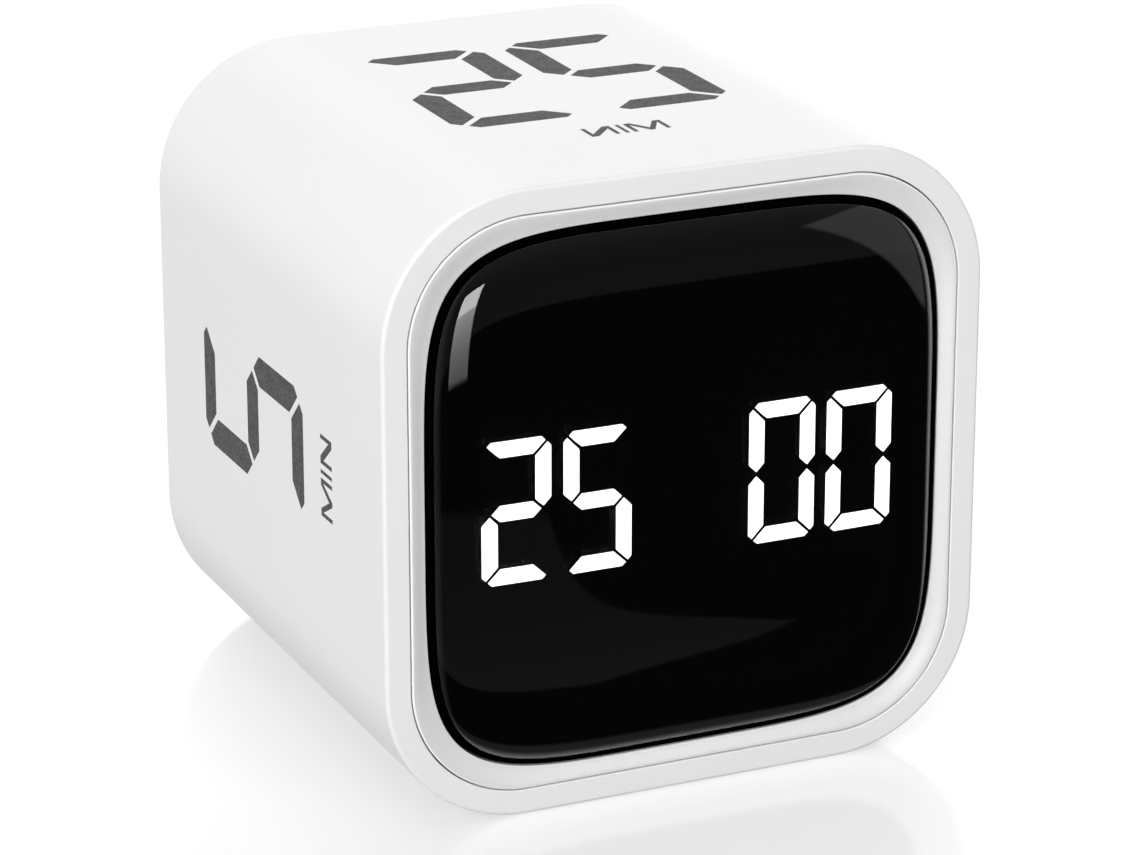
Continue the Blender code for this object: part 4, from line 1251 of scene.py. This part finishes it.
@dataclass
class BackPanel:
    """The recessed rear panel, with soft edges round each of its openings."""

    outer: float = 0.0280
    inner: float = 0.0260
    edge: float = 0.0003
    skirt: float = 0.0012
    skirt_depth: float = 0.0025
    skirt_inset: float = 0.0004
    root: float = 0.0004
    post_across: float = 0.0203
    post_up: float = 0.0133
    post_radius: float = 0.0022
    post_foot: float = 0.0208
    post_hole: float = 0.0010
    post_hole_depth: float = 0.0030
    key_hole: float = 0.0043
    slot_spot: float = -0.0135
    slot_size: Triple = (0.0086, 0.0036, 0.0004)
    port_size: Triple = (0.00954, 0.00386, 0.00192)
    sound_hole: float = 0.00065
    sound_edge_share: float = 0.7
    sound_circle: float = 0.0025
    screw_hole: float = 0.0012
    counterbore: float = 0.0025
    counterbore_depth: float = 0.0013
    counterbore_edge: float = 0.00015
    round_over: float = 0.00022

    def build(self) -> None:
        """Builds the panel, its skirt and its posts, and cuts the openings."""

        def outline(inset: float) -> Outline:
            """Draws the panel's outline, moved inwards."""
            return bore_outline(CUBE.gap + inset)

        plate = [(outline(0), self.inner), *eased(outline, self.outer, self.edge, steps=6)]
        piece = Form().loft(plate).thing("rear_panel")
        outer, inner = outline(self.skirt_inset), outline(self.skirt_inset + self.skirt)
        foot, root = self.inner - self.skirt_depth, self.inner + self.root
        skirt = Form().loft([(outer, foot), (outer, root), (inner, root), (inner, foot)], ends=False)
        combine(piece, skirt, "UNION")
        posts, foot = corners(self.post_across, self.post_up), self.post_foot
        combine(piece, Form().plates(circle(self.post_radius, steps=28), foot, root, *posts), "UNION")
        cutters = self._openings()
        cutters.plates(circle(self.post_hole, steps=24), foot - PAST, foot + self.post_hole_depth, *posts)
        combine(piece, cutters, "DIFFERENCE")
        smooth(piece)
        settle(piece, "white_plastic", WHITE, stands_for=("back_cover",))

    def _openings(self) -> Form:
        """Makes the cutters for all openings, each with a round edge on the panel's outer side.

        Returns:
            The cutters.
        """

        def mouth(shape: Shape, radius: float, steps: int) -> Rings:
            """Gives the rings of a round edge and of the way out."""
            return [*eased(shape, self.outer, radius, steps), (shape(radius), self.outer + PAST)]

        slot, port = box_shape(*self.slot_size, steps=6), box_shape(*self.port_size, steps=16)
        sound = [(0.0, CUBE.low_row), *(circle(self.sound_circle, steps=6) + (0.0, CUBE.low_row))]
        keys = [(across, CUBE.key_row) for across in CUBE.key_spots]
        start, form = self.inner - PAST, Form()
        for shape, spots in (
            (lambda grow: circle(self.key_hole + grow, steps=72), keys),
            (lambda grow: slot(-grow), [(self.slot_spot, CUBE.low_row)]),
            (lambda grow: port(-grow), [(CUBE.port_spot, CUBE.low_row)]),
            (lambda grow: circle(self.sound_hole + grow * self.sound_edge_share, steps=28), sound),
        ):
            for spot in spots:
                form.loft([(shape(0.0), start), *mouth(shape, self.round_over, 5)], spot)
        hole, floor = circle(self.screw_hole, steps=40), self.outer - self.counterbore_depth
        rings = [(hole, start), (hole, floor), (circle(self.counterbore, steps=40), floor)]
        rings += mouth(lambda grow: circle(self.counterbore + grow, steps=40), self.counterbore_edge, 4)
        for spot in corners(CUBE.screw_spot, CUBE.screw_spot):
            form.loft(rings, spot)
        return form


class Mark(Enum):
    """The printed mark on a key."""

    MINUTE = "M"
    SECOND = "S"
    START = "start"


@dataclass
class PushKey:
    """A round push key with a crowned, slightly hollowed top and a printed mark."""

    body: Body
    mark: Mark
    across: float
    radius: float = 0.0040
    flange: float = 0.0010
    flange_thick: float = 0.0008
    chamfer: float = 0.0001
    bottom: float = 0.0249
    top: float = 0.0292
    edge: float = 0.00045
    land: float = 0.0002
    hollow: float = 0.00022
    hollow_rings: int = 12
    steps: int = 72
    ink: Spot = (-0.00003, 0.000015)
    letter_width: float = 0.0026
    letter_height: float = 0.0024
    letter_corner: float = 0.00045
    letter_shares: Triple = (0.76, 0.12, 0.36)
    stroke: float = 0.00034
    bow_width: float = 1.25
    bow_tip: float = 0.18
    bow_steps: int = 22
    triangle: float = 0.0021
    triangle_share: float = 0.87
    triangle_shift: float = 0.00012
    bar_spots: Spot = (0.00062, 0.00138)
    bar_shares: Spot = (1.15, 0.2)

    def build(self) -> None:
        """Builds the cap and prints its mark."""
        start, end, cut = self.bottom, self.bottom + self.flange_thick, self.chamfer
        reach, wide = self.radius - self.edge - self.land, self.radius + self.flange
        sizes = [(wide - cut, start), (wide, start + cut), (wide, end - cut), (wide - cut, end)]
        rings = [(circle(size, self.steps), y) for size, y in [*sizes, (self.radius, end)]]
        rings += eased(lambda inset: circle(self.radius - inset, self.steps), self.top, self.edge, steps=8)
        for share in np.linspace(1, 0, self.hollow_rings, False):
            rings.append((circle(reach * share, self.steps), self._face(share)))
        node = self.body.value
        piece = Form().loft(rings, (self.across, CUBE.key_row)).thing("dressed_" + node)
        smooth(piece, crease=50)
        settle(piece, "grey_plastic", KEY_GREY, body=self.body, stands_for=(node,))
        form = Form()
        for patch in self._patches():
            # Seen from behind, the reading direction across is -X
            x, z = (patch * (-1.0, 1.0)).T
            x, y, z = self.across + x, self._face(np.hypot(x, z) / reach), CUBE.key_row + z
            form.solid([np.stack([x, y + proud, z], axis=1) for proud in self.ink])
        settle(form.thing("mark_" + node), "grey_plastic", INK, body=self.body)

    def _face(self, share: float | np.ndarray) -> float | np.ndarray:
        """Gives the Y of the hollow at a share of the way out from its middle."""
        return self.top - self.hollow * (1 - np.minimum(share, 1.0) ** 2)

    def _patches(self) -> list[Outline]:
        """Draws the mark: a letter, or a triangle with two bars.

        Returns:
            Its outlines about the key's middle.
        """
        width, height, stroke = self.letter_width, self.letter_height, self.stroke
        if self.mark is Mark.MINUTE:
            letter = letter_m(width, height, stroke, self.letter_corner, self.letter_shares)
            return [letter - (width / 2, height / 2)]
        if self.mark is Mark.SECOND:
            return [self._letter_s()]
        tall, wide = self.triangle, self.triangle * self.triangle_share
        point = np.array([(0, 0), (wide, tall / 2), (0, tall)]) - (wide + self.triangle_shift, tall / 2)
        bar_width, bar_corner = (stroke * share for share in self.bar_shares)
        bar = rounded_box(bar_width, tall, bar_corner)
        return [point, *(bar + (place, 0.0) for place in self.bar_spots)]

    def _letter_s(self) -> Outline:
        """Draws an S as a thick line along two arcs.

        Returns:
            Its outline about the key's middle.
        """
        radius, tip = (self.letter_height - self.stroke) / 4, self.bow_tip * pi
        arcs = []
        for start, end, up in ((tip, 1.5 * pi, 1), (0.5 * pi, tip - pi, -1)):
            turn = np.linspace(start, end, self.bow_steps)
            arcs.append(radius * (self.bow_width * np.cos(turn) + 1j * (np.sin(turn) + up)))
        path = np.concatenate(arcs)
        way = np.gradient(path)
        side = 1j * way / np.abs(way) * self.stroke / 2
        return plain(np.concatenate([path + side, (path - side)[::-1]]))


@dataclass
class SlideKnob:
    """The ridged knob of the sound slide, on its flange behind the panel."""

    across: float = -0.0155
    size: Triple = (0.0040, 0.0030, 0.0005)
    flange: Triple = (0.0135, 0.0056, 0.0004)
    flange_thick: float = 0.0008
    bottom: float = 0.0249
    overlap: float = 0.0002
    top: float = 0.0294
    edge: float = 0.0003
    pocket: Triple = (0.0024, 0.0024, 0.0001)
    pocket_depth: float = 0.0016
    ridge: Triple = (0.00030, 0.0021, 0.0001)
    ridge_foot: float = 0.0001
    ridge_rise: float = 0.00025
    ridge_edge: float = 0.000098
    ridge_corner_share: float = 0.6
    ridge_pitch: float = 0.00062
    ridges: int = 5

    def build(self) -> None:
        """Builds the knob and sets its ridges in a row."""
        spot, end = (self.across, CUBE.low_row), self.bottom + self.flange_thick
        face, outline = self.top - self.ridge_rise, box_shape(*self.size, steps=6)
        flange = rounded_box(*self.flange, steps=6)
        piece = Form().plates(flange, self.bottom, end, spot).thing("sound_slide_knob")
        stem = [(outline(0), end - self.overlap), *eased(outline, face, self.edge, steps=6)]
        combine(piece, Form().loft(stem, spot), "UNION")
        hole, start = rounded_box(*self.pocket), self.bottom - PAST
        combine(piece, Form().plates(hole, start, self.bottom + self.pocket_depth, spot), "DIFFERENCE")
        smooth(piece)
        settle(piece, "grey_plastic", KNOB_GREY, body=Body.SOUND_SLIDE, stands_for=("slide_knob",))
        width, height, radius = self.ridge

        def side(inset: float) -> Outline:
            """Draws a ridge's outline, moved inwards."""
            corner = radius - inset * self.ridge_corner_share
            return rounded_box(width - inset * 2, height - inset * 2, corner, steps=3)

        rings = [(rounded_box(width + self.ridge_foot, height, radius, steps=3), -self.ridge_foot)]
        rings += eased(side, self.ridge_rise, self.ridge_edge, steps=4)
        ridge = Form().loft(rings, ORIGIN).thing("ridge")
        sizes = row((self.across, face, CUBE.low_row), (self.ridge_pitch, 0.0, 0.0), self.ridges)
        ridges = ROW_COPIES.make("sound_slide_ridges", ridge, KNOB_GREY, **sizes)
        settle(ridges, "grey_plastic", KNOB_GREY, body=Body.SOUND_SLIDE)


@dataclass
class CoverScrews:
    """Four pan-head screws with a cross recess, in the panel's counterbores."""

    seat: float = 0.0270
    head: float = 0.0021
    head_thick: float = 0.0010
    crown: float = 0.00042
    crown_share: float = 0.86
    crown_steps: int = 8
    shank: float = 0.0009
    point_share: float = 0.4
    tip: float = 0.0190
    tip_length: float = 0.0006
    cross: float = 0.0023
    blade: float = 0.00050
    blade_corners: Spot = (0.00008, 0.00012)
    blade_share: float = 0.55
    blade_past: float = 0.0004
    depth: float = 0.00075
    steps: int = 48

    def build(self) -> None:
        """Builds one screw and sets out its copies."""
        top, base = self.seat + self.head_thick, self.seat + self.head_thick - self.crown
        sizes = [(self.shank * self.point_share, self.tip), (self.shank, self.tip + self.tip_length)]
        sizes += [(self.shank, self.seat), (self.head, self.seat)]
        # The crown ends in a small flat, since its share is below one
        for turn in np.linspace(0, pi / 2, self.crown_steps + 1):
            sizes.append((self.head * cos(turn * self.crown_share), base + self.crown * sin(turn)))
        rings = [(circle(size, self.steps), y) for size, y in sizes]
        screw = Form().loft(rings, ORIGIN).thing("cover_screw")
        (low, high), share = self.blade_corners, self.blade_share
        for across, up in ((self.cross, self.blade), (self.blade, self.cross)):
            bottom, mouth = rounded_box(across * share, up * share, low), rounded_box(across, up, high)
            blade = Form().loft([(bottom, top - self.depth), (mouth, top + self.blade_past)], ORIGIN)
            combine(screw, blade, "DIFFERENCE")
        spots = [(x, 0.0, z) for x, z in corners(CUBE.screw_spot, CUBE.screw_spot)]
        screws = SPOT_COPIES.make("cover_screws", screw, SCREW_STEEL, Spots=spots)
        names = tuple(f"cover_screw_{number}" for number in range(1, 5))
        settle(screws, "steel", SCREW_STEEL, stands_for=names)


@dataclass
class ChargingSocket:
    """The flat oval charging socket: a folded steel shell and a tongue with its contacts."""

    size: Triple = (0.00894, 0.00326, 0.00162)
    wall: float = 0.0003
    lip: float = 0.0001
    foot: float = 0.0208
    mouth: float = 0.0276
    floor: float = 0.0005
    tongue: Triple = (0.0067, 0.0007, 0.0002)
    tongue_edge: float = 0.00015
    tongue_end: float = 0.0267
    contact: Triple = (0.00026, 0.00008, 0.00002)
    contact_ends: Spot = (-0.0016, 0.0012)
    contact_pitch: float = 0.0005
    contact_sunk: float = 0.00001
    contacts: int = 12

    def build(self) -> None:
        """Builds the shell, the tongue and the contacts on both of its sides."""
        spot = (CUBE.port_spot, CUBE.low_row)
        oval, blade = box_shape(*self.size, steps=16), box_shape(*self.tongue, steps=4)
        rings = [(oval(0), self.foot), *eased(oval, self.mouth, self.lip, steps=3)]
        rings += eased(lambda inset: oval(self.wall - inset), self.mouth, self.lip, steps=3)[::-1]
        rings.append((oval(self.wall), self.foot + self.floor))
        shell = Form().loft(rings, spot).thing("charging_socket_shell")
        smooth(shell)
        settle(shell, "steel", STEEL, stands_for=("socket_shell",))
        rings = [(blade(0), self.foot + self.floor + CUBE.gap)]
        rings += eased(blade, self.tongue_end, self.tongue_edge, steps=4)
        tongue = Form().loft(rings, spot).thing("charging_socket_tongue")
        smooth(tongue)
        settle(tongue, "black_package", PACKAGE, stands_for=("socket_tongue",))
        for number, side in enumerate((-1, 1), 1):
            strip = Form().plates(rounded_box(*self.contact), *self.contact_ends, ORIGIN).thing("contact")
            up = CUBE.low_row + side * (self.tongue[1] / 2 - self.contact_sunk)
            centre = (CUBE.port_spot, self.tongue_end + self.contact_ends[0], up)
            sizes = row(centre, (self.contact_pitch, 0.0, 0.0), self.contacts)
            settle(ROW_COPIES.make(f"charging_contacts_{number}", strip, GOLD, **sizes), "steel", GOLD)


@dataclass
class SlideMarks:
    """Printed marks beside the slide: a ring for off, one wave for quiet and two for loud."""

    spots: Triple = (-0.0155, -0.0135, -0.0115)
    up: float = 0.0281
    ends: Spot = (0.02799, 0.028015)
    ring: float = 0.00055
    ring_line: float = 0.00018
    dot: float = 0.00028
    dot_shift: float = 0.0004
    first_wave: float = 0.00062
    wave_pitch: float = 0.00045
    wave_line: float = 0.00016
    wave_turn: float = 0.7

    def build(self) -> None:
        """Prints the three marks above the slot."""
        sunk, proud = self.ends
        outer, inner = circle(self.ring, steps=32), circle(self.ring - self.ring_line, steps=32)
        rings = [(outer, sunk), (outer, proud), (inner, proud), (inner, sunk)]
        form = Form().loft(rings, (self.spots[0], self.up), ends=False)
        for number, across in enumerate(self.spots[1:], 1):
            spot = (across + self.dot_shift, self.up)
            form.plates(circle(self.dot, steps=24), sunk, proud, spot)
            for wave in range(number):
                form.plates(self._arc(self.first_wave + wave * self.wave_pitch), sunk, proud, spot)
        settle(form.thing("sound_marks"), "grey_plastic", INK)

    def _arc(self, radius: float) -> Outline:
        """Draws a curved stroke that opens towards the reader's right, seen from behind.

        Args:
            radius: Its radius.

        Returns:
            Its outline about the dot.
        """
        line = np.exp(1j * np.linspace(pi - self.wave_turn, pi + self.wave_turn, 12))
        half = self.wave_line / 2
        return plain(np.concatenate([line * (radius + half), line[::-1] * (radius - half)]))


# Inside: boards, lights, chips, cell


class Way(Enum):
    """The way in which a row of legs runs, with the way out from the chip."""

    ACROSS = ((1, 0, 0), (0, 0, 1))
    UP = ((0, 0, 1), (1, 0, 0))


@dataclass
class InnerParts:
    """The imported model's own inner parts, each with its real finish, and the small parts on the boards."""

    board_face: float = 0.0189
    leg_face: float = 0.01875
    leg_pitch: float = 0.00065
    leg_width: float = 0.00026
    leg_length: float = 0.0007
    leg_out: float = 0.0001
    leg_corner: float = 0.00005
    leg_depths: Triple = (-0.00022, 0.00012, 0.00015)
    light_face: float = -0.0224
    light_radius: float = 0.000336
    light_depths: Triple = (-0.00008, -0.00002, 0.0001)
    taper: float = 0.9
    ceramic: Triple = (0.0006, 0.0008, 0.00008)
    ceramic_thick: float = 0.0005
    ceramic_bevel: float = 0.00005
    ceramic_end: Triple = (0.00064, 0.00024, 0.00005)
    ceramic_end_thick: float = 0.00052
    ceramic_end_place: float = 0.00042
    ceramic_columns: tuple[Spot, ...] = ((0.0186, 0.0204), (-0.0205, -0.0188))
    ceramic_rows: tuple[Spot, ...] = ((0.0345, 0.0254), (0.0310, 0.0288))

    def build(self) -> None:
        """Gives each carried-over node its finish and adds legs, lights and small parts."""
        for finish, nodes in self._finishes().items():
            for node in nodes:
                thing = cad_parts[node]
                if not thing.data.materials:
                    thing.data.materials.append(None)
                for place in thing.material_slots:
                    place.material = finish.material()
                log.info("%s: %s", node, finish.name)
        self._legs("microcontroller", 7, Way.UP)
        self._legs("microcontroller", 7, Way.ACROSS)
        self._legs("tilt_sensor", 4, Way.UP)
        self._legs("charge_controller", 3, Way.UP)
        self._lights()
        self._ceramic_parts()

    def _finishes(self) -> dict[Finish, tuple[str, ...]]:
        """Lists the nodes that keep their CAD shape.

        Returns:
            The nodes under each finish.
        """
        keys = ("minute_key", "second_key", "start_key")
        screws = tuple(f"{kind}_screw_{number}" for kind in ("display", "board") for number in range(1, 5))
        chips = ("microcontroller", "tilt_sensor", "charge_controller", "slide_lever", "buzzer")
        sockets = tuple(name + "_socket" for name in ("display_ribbon", "main_ribbon", "battery"))
        return {
            MASK_BLACK: ("display_mask",),
            WHITE_BLOCK: ("light_reflector",),
            LACQUER: ("display_board", "main_board"),
            STEEL: (*screws, *(key + "_switch" for key in keys), "slide_switch"),
            PACKAGE: (*chips, *(key + "_plunger" for key in keys)),
            FOAM: ("buzzer_gasket", "battery_pad"),
            POUCH: ("battery_cell",),
            CREAM: ("display_ribbon", "battery_plug", *sockets),
            RED: ("battery_lead_positive",),
            BLACK: ("battery_lead_negative",),
        }

    def _legs(self, node: str, count: int, way: Way) -> None:
        """Sets two rows of tinned legs along opposite sides of a chip.

        Args:
            node: The chip.
            count: Legs in each row.
            way: The way in which a row runs.
        """
        low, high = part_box(node)
        along, out = (Vector(part) for part in way.value)
        size = along * self.leg_width + out * self.leg_length
        outline = rounded_box(size.x, size.z, self.leg_corner)
        rings = list(zip((outline, outline, outline * self.taper), self.leg_depths))
        for side, place in ((-1, "left"), (1, "right")):
            centre = (low + high) / 2 + out * side * ((high - low).dot(out) / 2 + self.leg_out)
            sizes = row((centre.x, self.leg_face, centre.z), along * self.leg_pitch, count)
            leg = Form().loft(rings, ORIGIN).thing("leg")
            name = f"{node}_legs_{way.name.lower()}_{place}"
            settle(ROW_COPIES.make(name, leg, TIN, **sizes), "steel", TIN)

    def _lights(self) -> None:
        """Caps each light chip on the display board with its phosphor, one under each bar."""
        disc = circle(self.light_radius, steps=20)
        rings = list(zip((disc * self.taper, disc, disc), self.light_depths))
        cap = Form().loft(rings, ORIGIN).thing("light")
        bars = [CENTRE + outline.mean(axis=0) for outline in DISPLAY_FIGURE.bars().values()]
        spots = [(place + x, self.light_face, z) for place in CUBE.figure_spots for x, z in bars]
        settle(SPOT_COPIES.make("display_lights", cap, LIGHT_CHIP, Spots=spots), "cream_plastic", LIGHT_CHIP)

    def _ceramic_parts(self) -> None:
        """Sets the small ceramic parts beside the chips, each with its two tinned ends."""
        groups = zip(self.ceramic_columns, self.ceramic_rows)
        spots = [(x, self.board_face, z) for columns, rows in groups for z in rows for x in columns]
        width, height, radius = self.ceramic
        bevel, face = self.ceramic_bevel, -self.ceramic_thick
        outline = rounded_box(width, height, radius)
        top = rounded_box(width - bevel * 2, height - bevel * 2, bevel)
        body = Form().loft([(top, face), (outline, face + bevel), (outline, 0.0)], ORIGIN).thing("ceramic")
        settle(SPOT_COPIES.make("ceramic_parts", body, CERAMIC, Spots=spots), "circuit_board", CERAMIC)
        outline = rounded_box(*self.ceramic_end)
        for side, place in ((-1, "lower"), (1, "upper")):
            middle = (0.0, side * self.ceramic_end_place)
            end = Form().plates(outline, -self.ceramic_end_thick, 0.0, middle).thing("end")
            settle(SPOT_COPIES.make("ceramic_part_ends_" + place, end, TIN, Spots=spots), "steel", TIN)


# Studio


@dataclass(frozen=True)
class Reflections:
    """What shiny surfaces see of the room, by direction: x to the right, y to the back, z up."""

    box_sides: Spot = (-0.15, 0.088)
    box_ends: Spot = (-0.287, 0.09)
    box_edge: float = 0.006
    box_fade: Ramp = (-0.29, -0.06, 2.0, 8.5)
    box_top: Ramp = (-0.088, -0.080, 0.0, 6.5)
    box_front: Ramp = (-0.5, -0.4, 1.0, 0.0)
    corner_across: Ramp = (0.05, 0.85, -2.0, 0.0)
    corner_up: Ramp = (-0.69, 0.15, -2.0, 0.0)
    corner_round: Ramp = (0.94, 1.02, 1.0, 0.0)
    corner_slope: float = 0.35
    corner_ends: Spot = (0.43, 2.0)
    corner_edge: float = 0.01
    corner_side: Ramp = (0.82, 0.88, 1.0, 0.0)
    corner_light: float = 0.75
    band_top_bend: Ramp = (0.345, 0.43, 0.0, 0.055)
    band_top: Ramp = (-0.354, -0.350, 1.0, 0.0)
    band_foot_bend: Ramp = (0.38, 0.44, 0.0, 0.06)
    band_foot: Ramp = (-0.468, -0.458, 0.0, 1.0)
    band_light: Ramp = (-0.44, -0.35, 0.16, 0.09)
    haze_slope: float = 0.12
    haze: Ramp = (-0.224, -0.214, 0.04, 0.19)
    ceiling: Ramp = (0.0, 0.5, 0.0, 0.14)
    table: Ramp = (-0.745, -0.70, 0.26, 0.0)
    below: Ramp = (-0.97, -0.80, 2.0, 0.0)
    left: Ramp = (-0.62, -0.28, 0.32, 0.0)
    right: Ramp = (0.87, 0.96, 0.0, 3.0)
    back: Ramp = (0.0, 0.35, 0.0, 1.2)

    def draw(self, room: Nodes) -> Socket:
        """Draws a dark room with a tall soft box, a pale corner, a bent pale band and white walls.

        Args:
            room: The world's node tree.

        Returns:
            The brightness by direction.
        """
        way = room.add("ShaderNodeTexCoord").outputs["Generated"]
        split = room.add("ShaderNodeSeparateXYZ", {0: way}).outputs
        x, y, z = (split[name] for name in "XYZ")
        times, plus, minus = (partial(room.maths, name) for name in ("MULTIPLY", "ADD", "SUBTRACT"))

        def soft(value: Socket, ramp: Ramp) -> Socket:
            """Maps a value with soft ends."""
            return room.span(value, *ramp, soft=True)

        def within(value: Socket, ends: Spot, edge: float) -> Socket:
            """Gives 1 between two values and 0 outside them, with soft ends."""
            start, end = (soft(value, (place - edge, place + edge, 0.0, 1.0)) for place in ends)
            return minus(start, end)

        # A tall soft box in front, which fades downwards
        box = times(within(x, self.box_sides, self.box_edge), within(z, self.box_ends, self.box_edge))
        fade = plus(room.span(z, *self.box_fade), room.span(z, *self.box_top))
        total = times(times(box, fade), room.span(y, *self.box_front))
        # A round pale corner, cut off by a slanting edge
        across, up = room.span(x, *self.corner_across), room.span(z, *self.corner_up)
        corner = soft(plus(times(across, across), times(up, up)), self.corner_round)
        slant = within(minus(x, times(z, self.corner_slope)), self.corner_ends, self.corner_edge)
        edge = times(slant, soft(x, self.corner_side))
        # A pale band between two edges that bend together
        top = soft(plus(z, room.span(x, *self.band_top_bend)), self.band_top)
        foot = soft(minus(z, room.span(x, *self.band_foot_bend)), self.band_foot)
        for part in (
            times(times(corner, edge), self.corner_light),
            times(times(top, foot), room.span(z, *self.band_light)),
            soft(minus(z, times(x, self.haze_slope)), self.haze),
            room.span(z, *self.ceiling),
            soft(z, self.table),
            soft(z, self.below),
            soft(x, self.left),
            soft(x, self.right),
            soft(y, self.back),
        ):
            total = plus(total, part)
        return total


@dataclass
class Studio:
    """A pale floor, a soft white room and the camera of the photograph."""

    camera_place: Triple = (-0.16707, -0.37212, 0.17050)
    camera_aim: Triple = (0.001384, 0.000731, 0.025720)
    camera_lens: float = 140.79
    camera_sensor: float = 36.0
    camera_clip: Spot = (0.01, 50.0)
    floor_reach: float = 1.6
    floor_level: float = -0.00001
    room_light: float = 0.25
    floor_tone: float = 0.46
    floor_bounce: float = 0.18
    floor_lift: float = 0.55
    floor_patch: float = 0.08
    floor_shades: Spot = (0.99, 1.0)
    floor_roughness: float = 0.12
    reflections: Reflections = Reflections()

    def build(self) -> None:
        """Sets up the camera, the floor, the room and the lamps."""
        self._camera()
        self._floor()
        self._room()
        self._lamp("top_lamp", place=(-0.10, 0.05, 1.00), size=(0.80, 0.80), power=2.0)
        self._lamp("key_lamp", place=(-1.05, -0.88, 0.48), size=(0.90, 0.80), power=18.5)
        self._lamp("back_lamp", place=(0.50, 1.18, 0.46), size=(0.90, 0.80), power=15.5)
        self._lamp("fill_lamp", place=(0.45, -1.10, 0.25), size=(0.50, 0.50), power=3.5)
        bpy.context.scene.view_settings.view_transform = "Standard"

    def _turn(self, thing: bpy.types.Object, place: Triple, aim: Triple) -> None:
        """Places a camera or a lamp and points it at an aim."""
        thing.location = place
        thing.rotation_euler = (Vector(aim) - Vector(place)).to_track_quat("-Z", "Y").to_euler()

    def _camera(self) -> None:
        """Places the camera."""
        data = bpy.data.cameras.new("camera")
        data.lens, data.sensor_width, data.sensor_fit = self.camera_lens, self.camera_sensor, "HORIZONTAL"
        data.clip_start, data.clip_end = self.camera_clip
        camera = linked("camera", data)
        self._turn(camera, self.camera_place, self.camera_aim)
        bpy.context.scene.camera = camera

    def _floor(self) -> None:
        """Lays a round floor whose tone is lifted to white for the camera, with the object's shadow kept."""
        reach, level = circle(self.floor_reach, steps=64), self.floor_level
        mesh = bpy.data.meshes.new("studio_floor")
        mesh.from_pydata([(x, y, level) for x, y in reach], [], [tuple(range(len(reach)))])
        floor = linked("studio_floor", mesh)
        surface = Surface("studio_floor_paint")
        rays = surface.add("ShaderNodeLightPath").outputs
        tone = surface.span(rays["Is Camera Ray"], 0.0, 1.0, self.floor_bounce, self.floor_tone)
        patches = surface.span(surface.noise(self.floor_patch), *NOISE_RANGE, *self.floor_shades)
        surface.feed(surface.shader, {
            "Base Color": surface.maths("MULTIPLY", tone, patches),
            "Roughness": self.floor_roughness,
            "Emission Color": (1.0, 1.0, 1.0, 1.0),
            "Emission Strength": surface.span(rays["Is Camera Ray"], 0.0, 1.0, 0.0, self.floor_lift),
        })
        # What shines shows the room instead of the floor
        clear = surface.add("ShaderNodeBsdfTransparent").outputs[0]
        inputs = {0: rays["Is Glossy Ray"], 1: surface.shader.outputs[0], 2: clear}
        seen = surface.add("ShaderNodeMixShader", inputs)
        surface.feed(surface.tree.nodes["Material Output"], {"Surface": seen.outputs[0]})
        mesh.materials.append(surface.material)

    def _room(self) -> None:
        """Makes the world: white to the camera, soft light on the object, and soft boxes in what shines."""
        world = bpy.data.worlds.new("white_room")
        world.use_nodes = True
        bpy.context.scene.world = world
        world.node_tree.nodes.clear()
        room = Nodes(world.node_tree)
        rays = room.add("ShaderNodeLightPath").outputs
        soft, shine, white = (
            room.add("ShaderNodeBackground", {"Strength": strength}).outputs[0]
            for strength in (self.room_light, self.reflections.draw(room), 1.0)
        )
        lit = room.add("ShaderNodeMixShader", {0: rays["Is Glossy Ray"], 1: soft, 2: shine}).outputs[0]
        seen = room.add("ShaderNodeMixShader", {0: rays["Is Camera Ray"], 1: lit, 2: white}).outputs[0]
        room.add("ShaderNodeOutputWorld", {"Surface": seen})

    def _lamp(self, name: str, place: Triple, size: Spot, power: float) -> None:
        """Hangs a soft box that faces the object and doesn't show in what shines.

        Args:
            name: Name of the lamp.
            place: Where it hangs.
            size: Its width and height.
            power: Its power in watts.
        """
        data = bpy.data.lights.new(name, "AREA")
        data.shape, data.energy = "RECTANGLE", power
        data.size, data.size_y = size
        lamp = linked(name, data)
        self._turn(lamp, place, (0.0, 0.0, CUBE.middle))
        lamp.visible_glossy = False


def main() -> None:
    """Builds every sub-assembly, then the studio."""
    figures = ("minute_tens_digit", "minute_units_digit", "second_tens_digit", "second_units_digit")
    keys = (Body.MINUTE_KEY, Body.SECOND_KEY, Body.START_KEY)
    assemblies = (
        Sleeve(),
        PrintedTime(Side.TOP, "25", shift=0.00003, mirrored=True),
        PrintedTime(Side.LEFT, "5", shift=0.00027),
        PrintedTime(Side.RIGHT, "10"),
        PrintedTime(Side.UNDERSIDE, "50"),
        FrontBezel(),
        WindowFrame(),
        WindowPane(),
        *(LitFigure(node, spot, shown) for node, spot, shown in zip(figures, CUBE.figure_spots, "2500")),
        BackPanel(),
        *(PushKey(body, mark, spot) for body, mark, spot in zip(keys, Mark, CUBE.key_spots)),
        SlideKnob(),
        CoverScrews(),
        ChargingSocket(),
        SlideMarks(),
        InnerParts(),
        Studio(),
    )
    for assembly in assemblies:
        log.info("building %s", type(assembly).__name__)
        assembly.build()


if __name__ == "__main__":
    main()
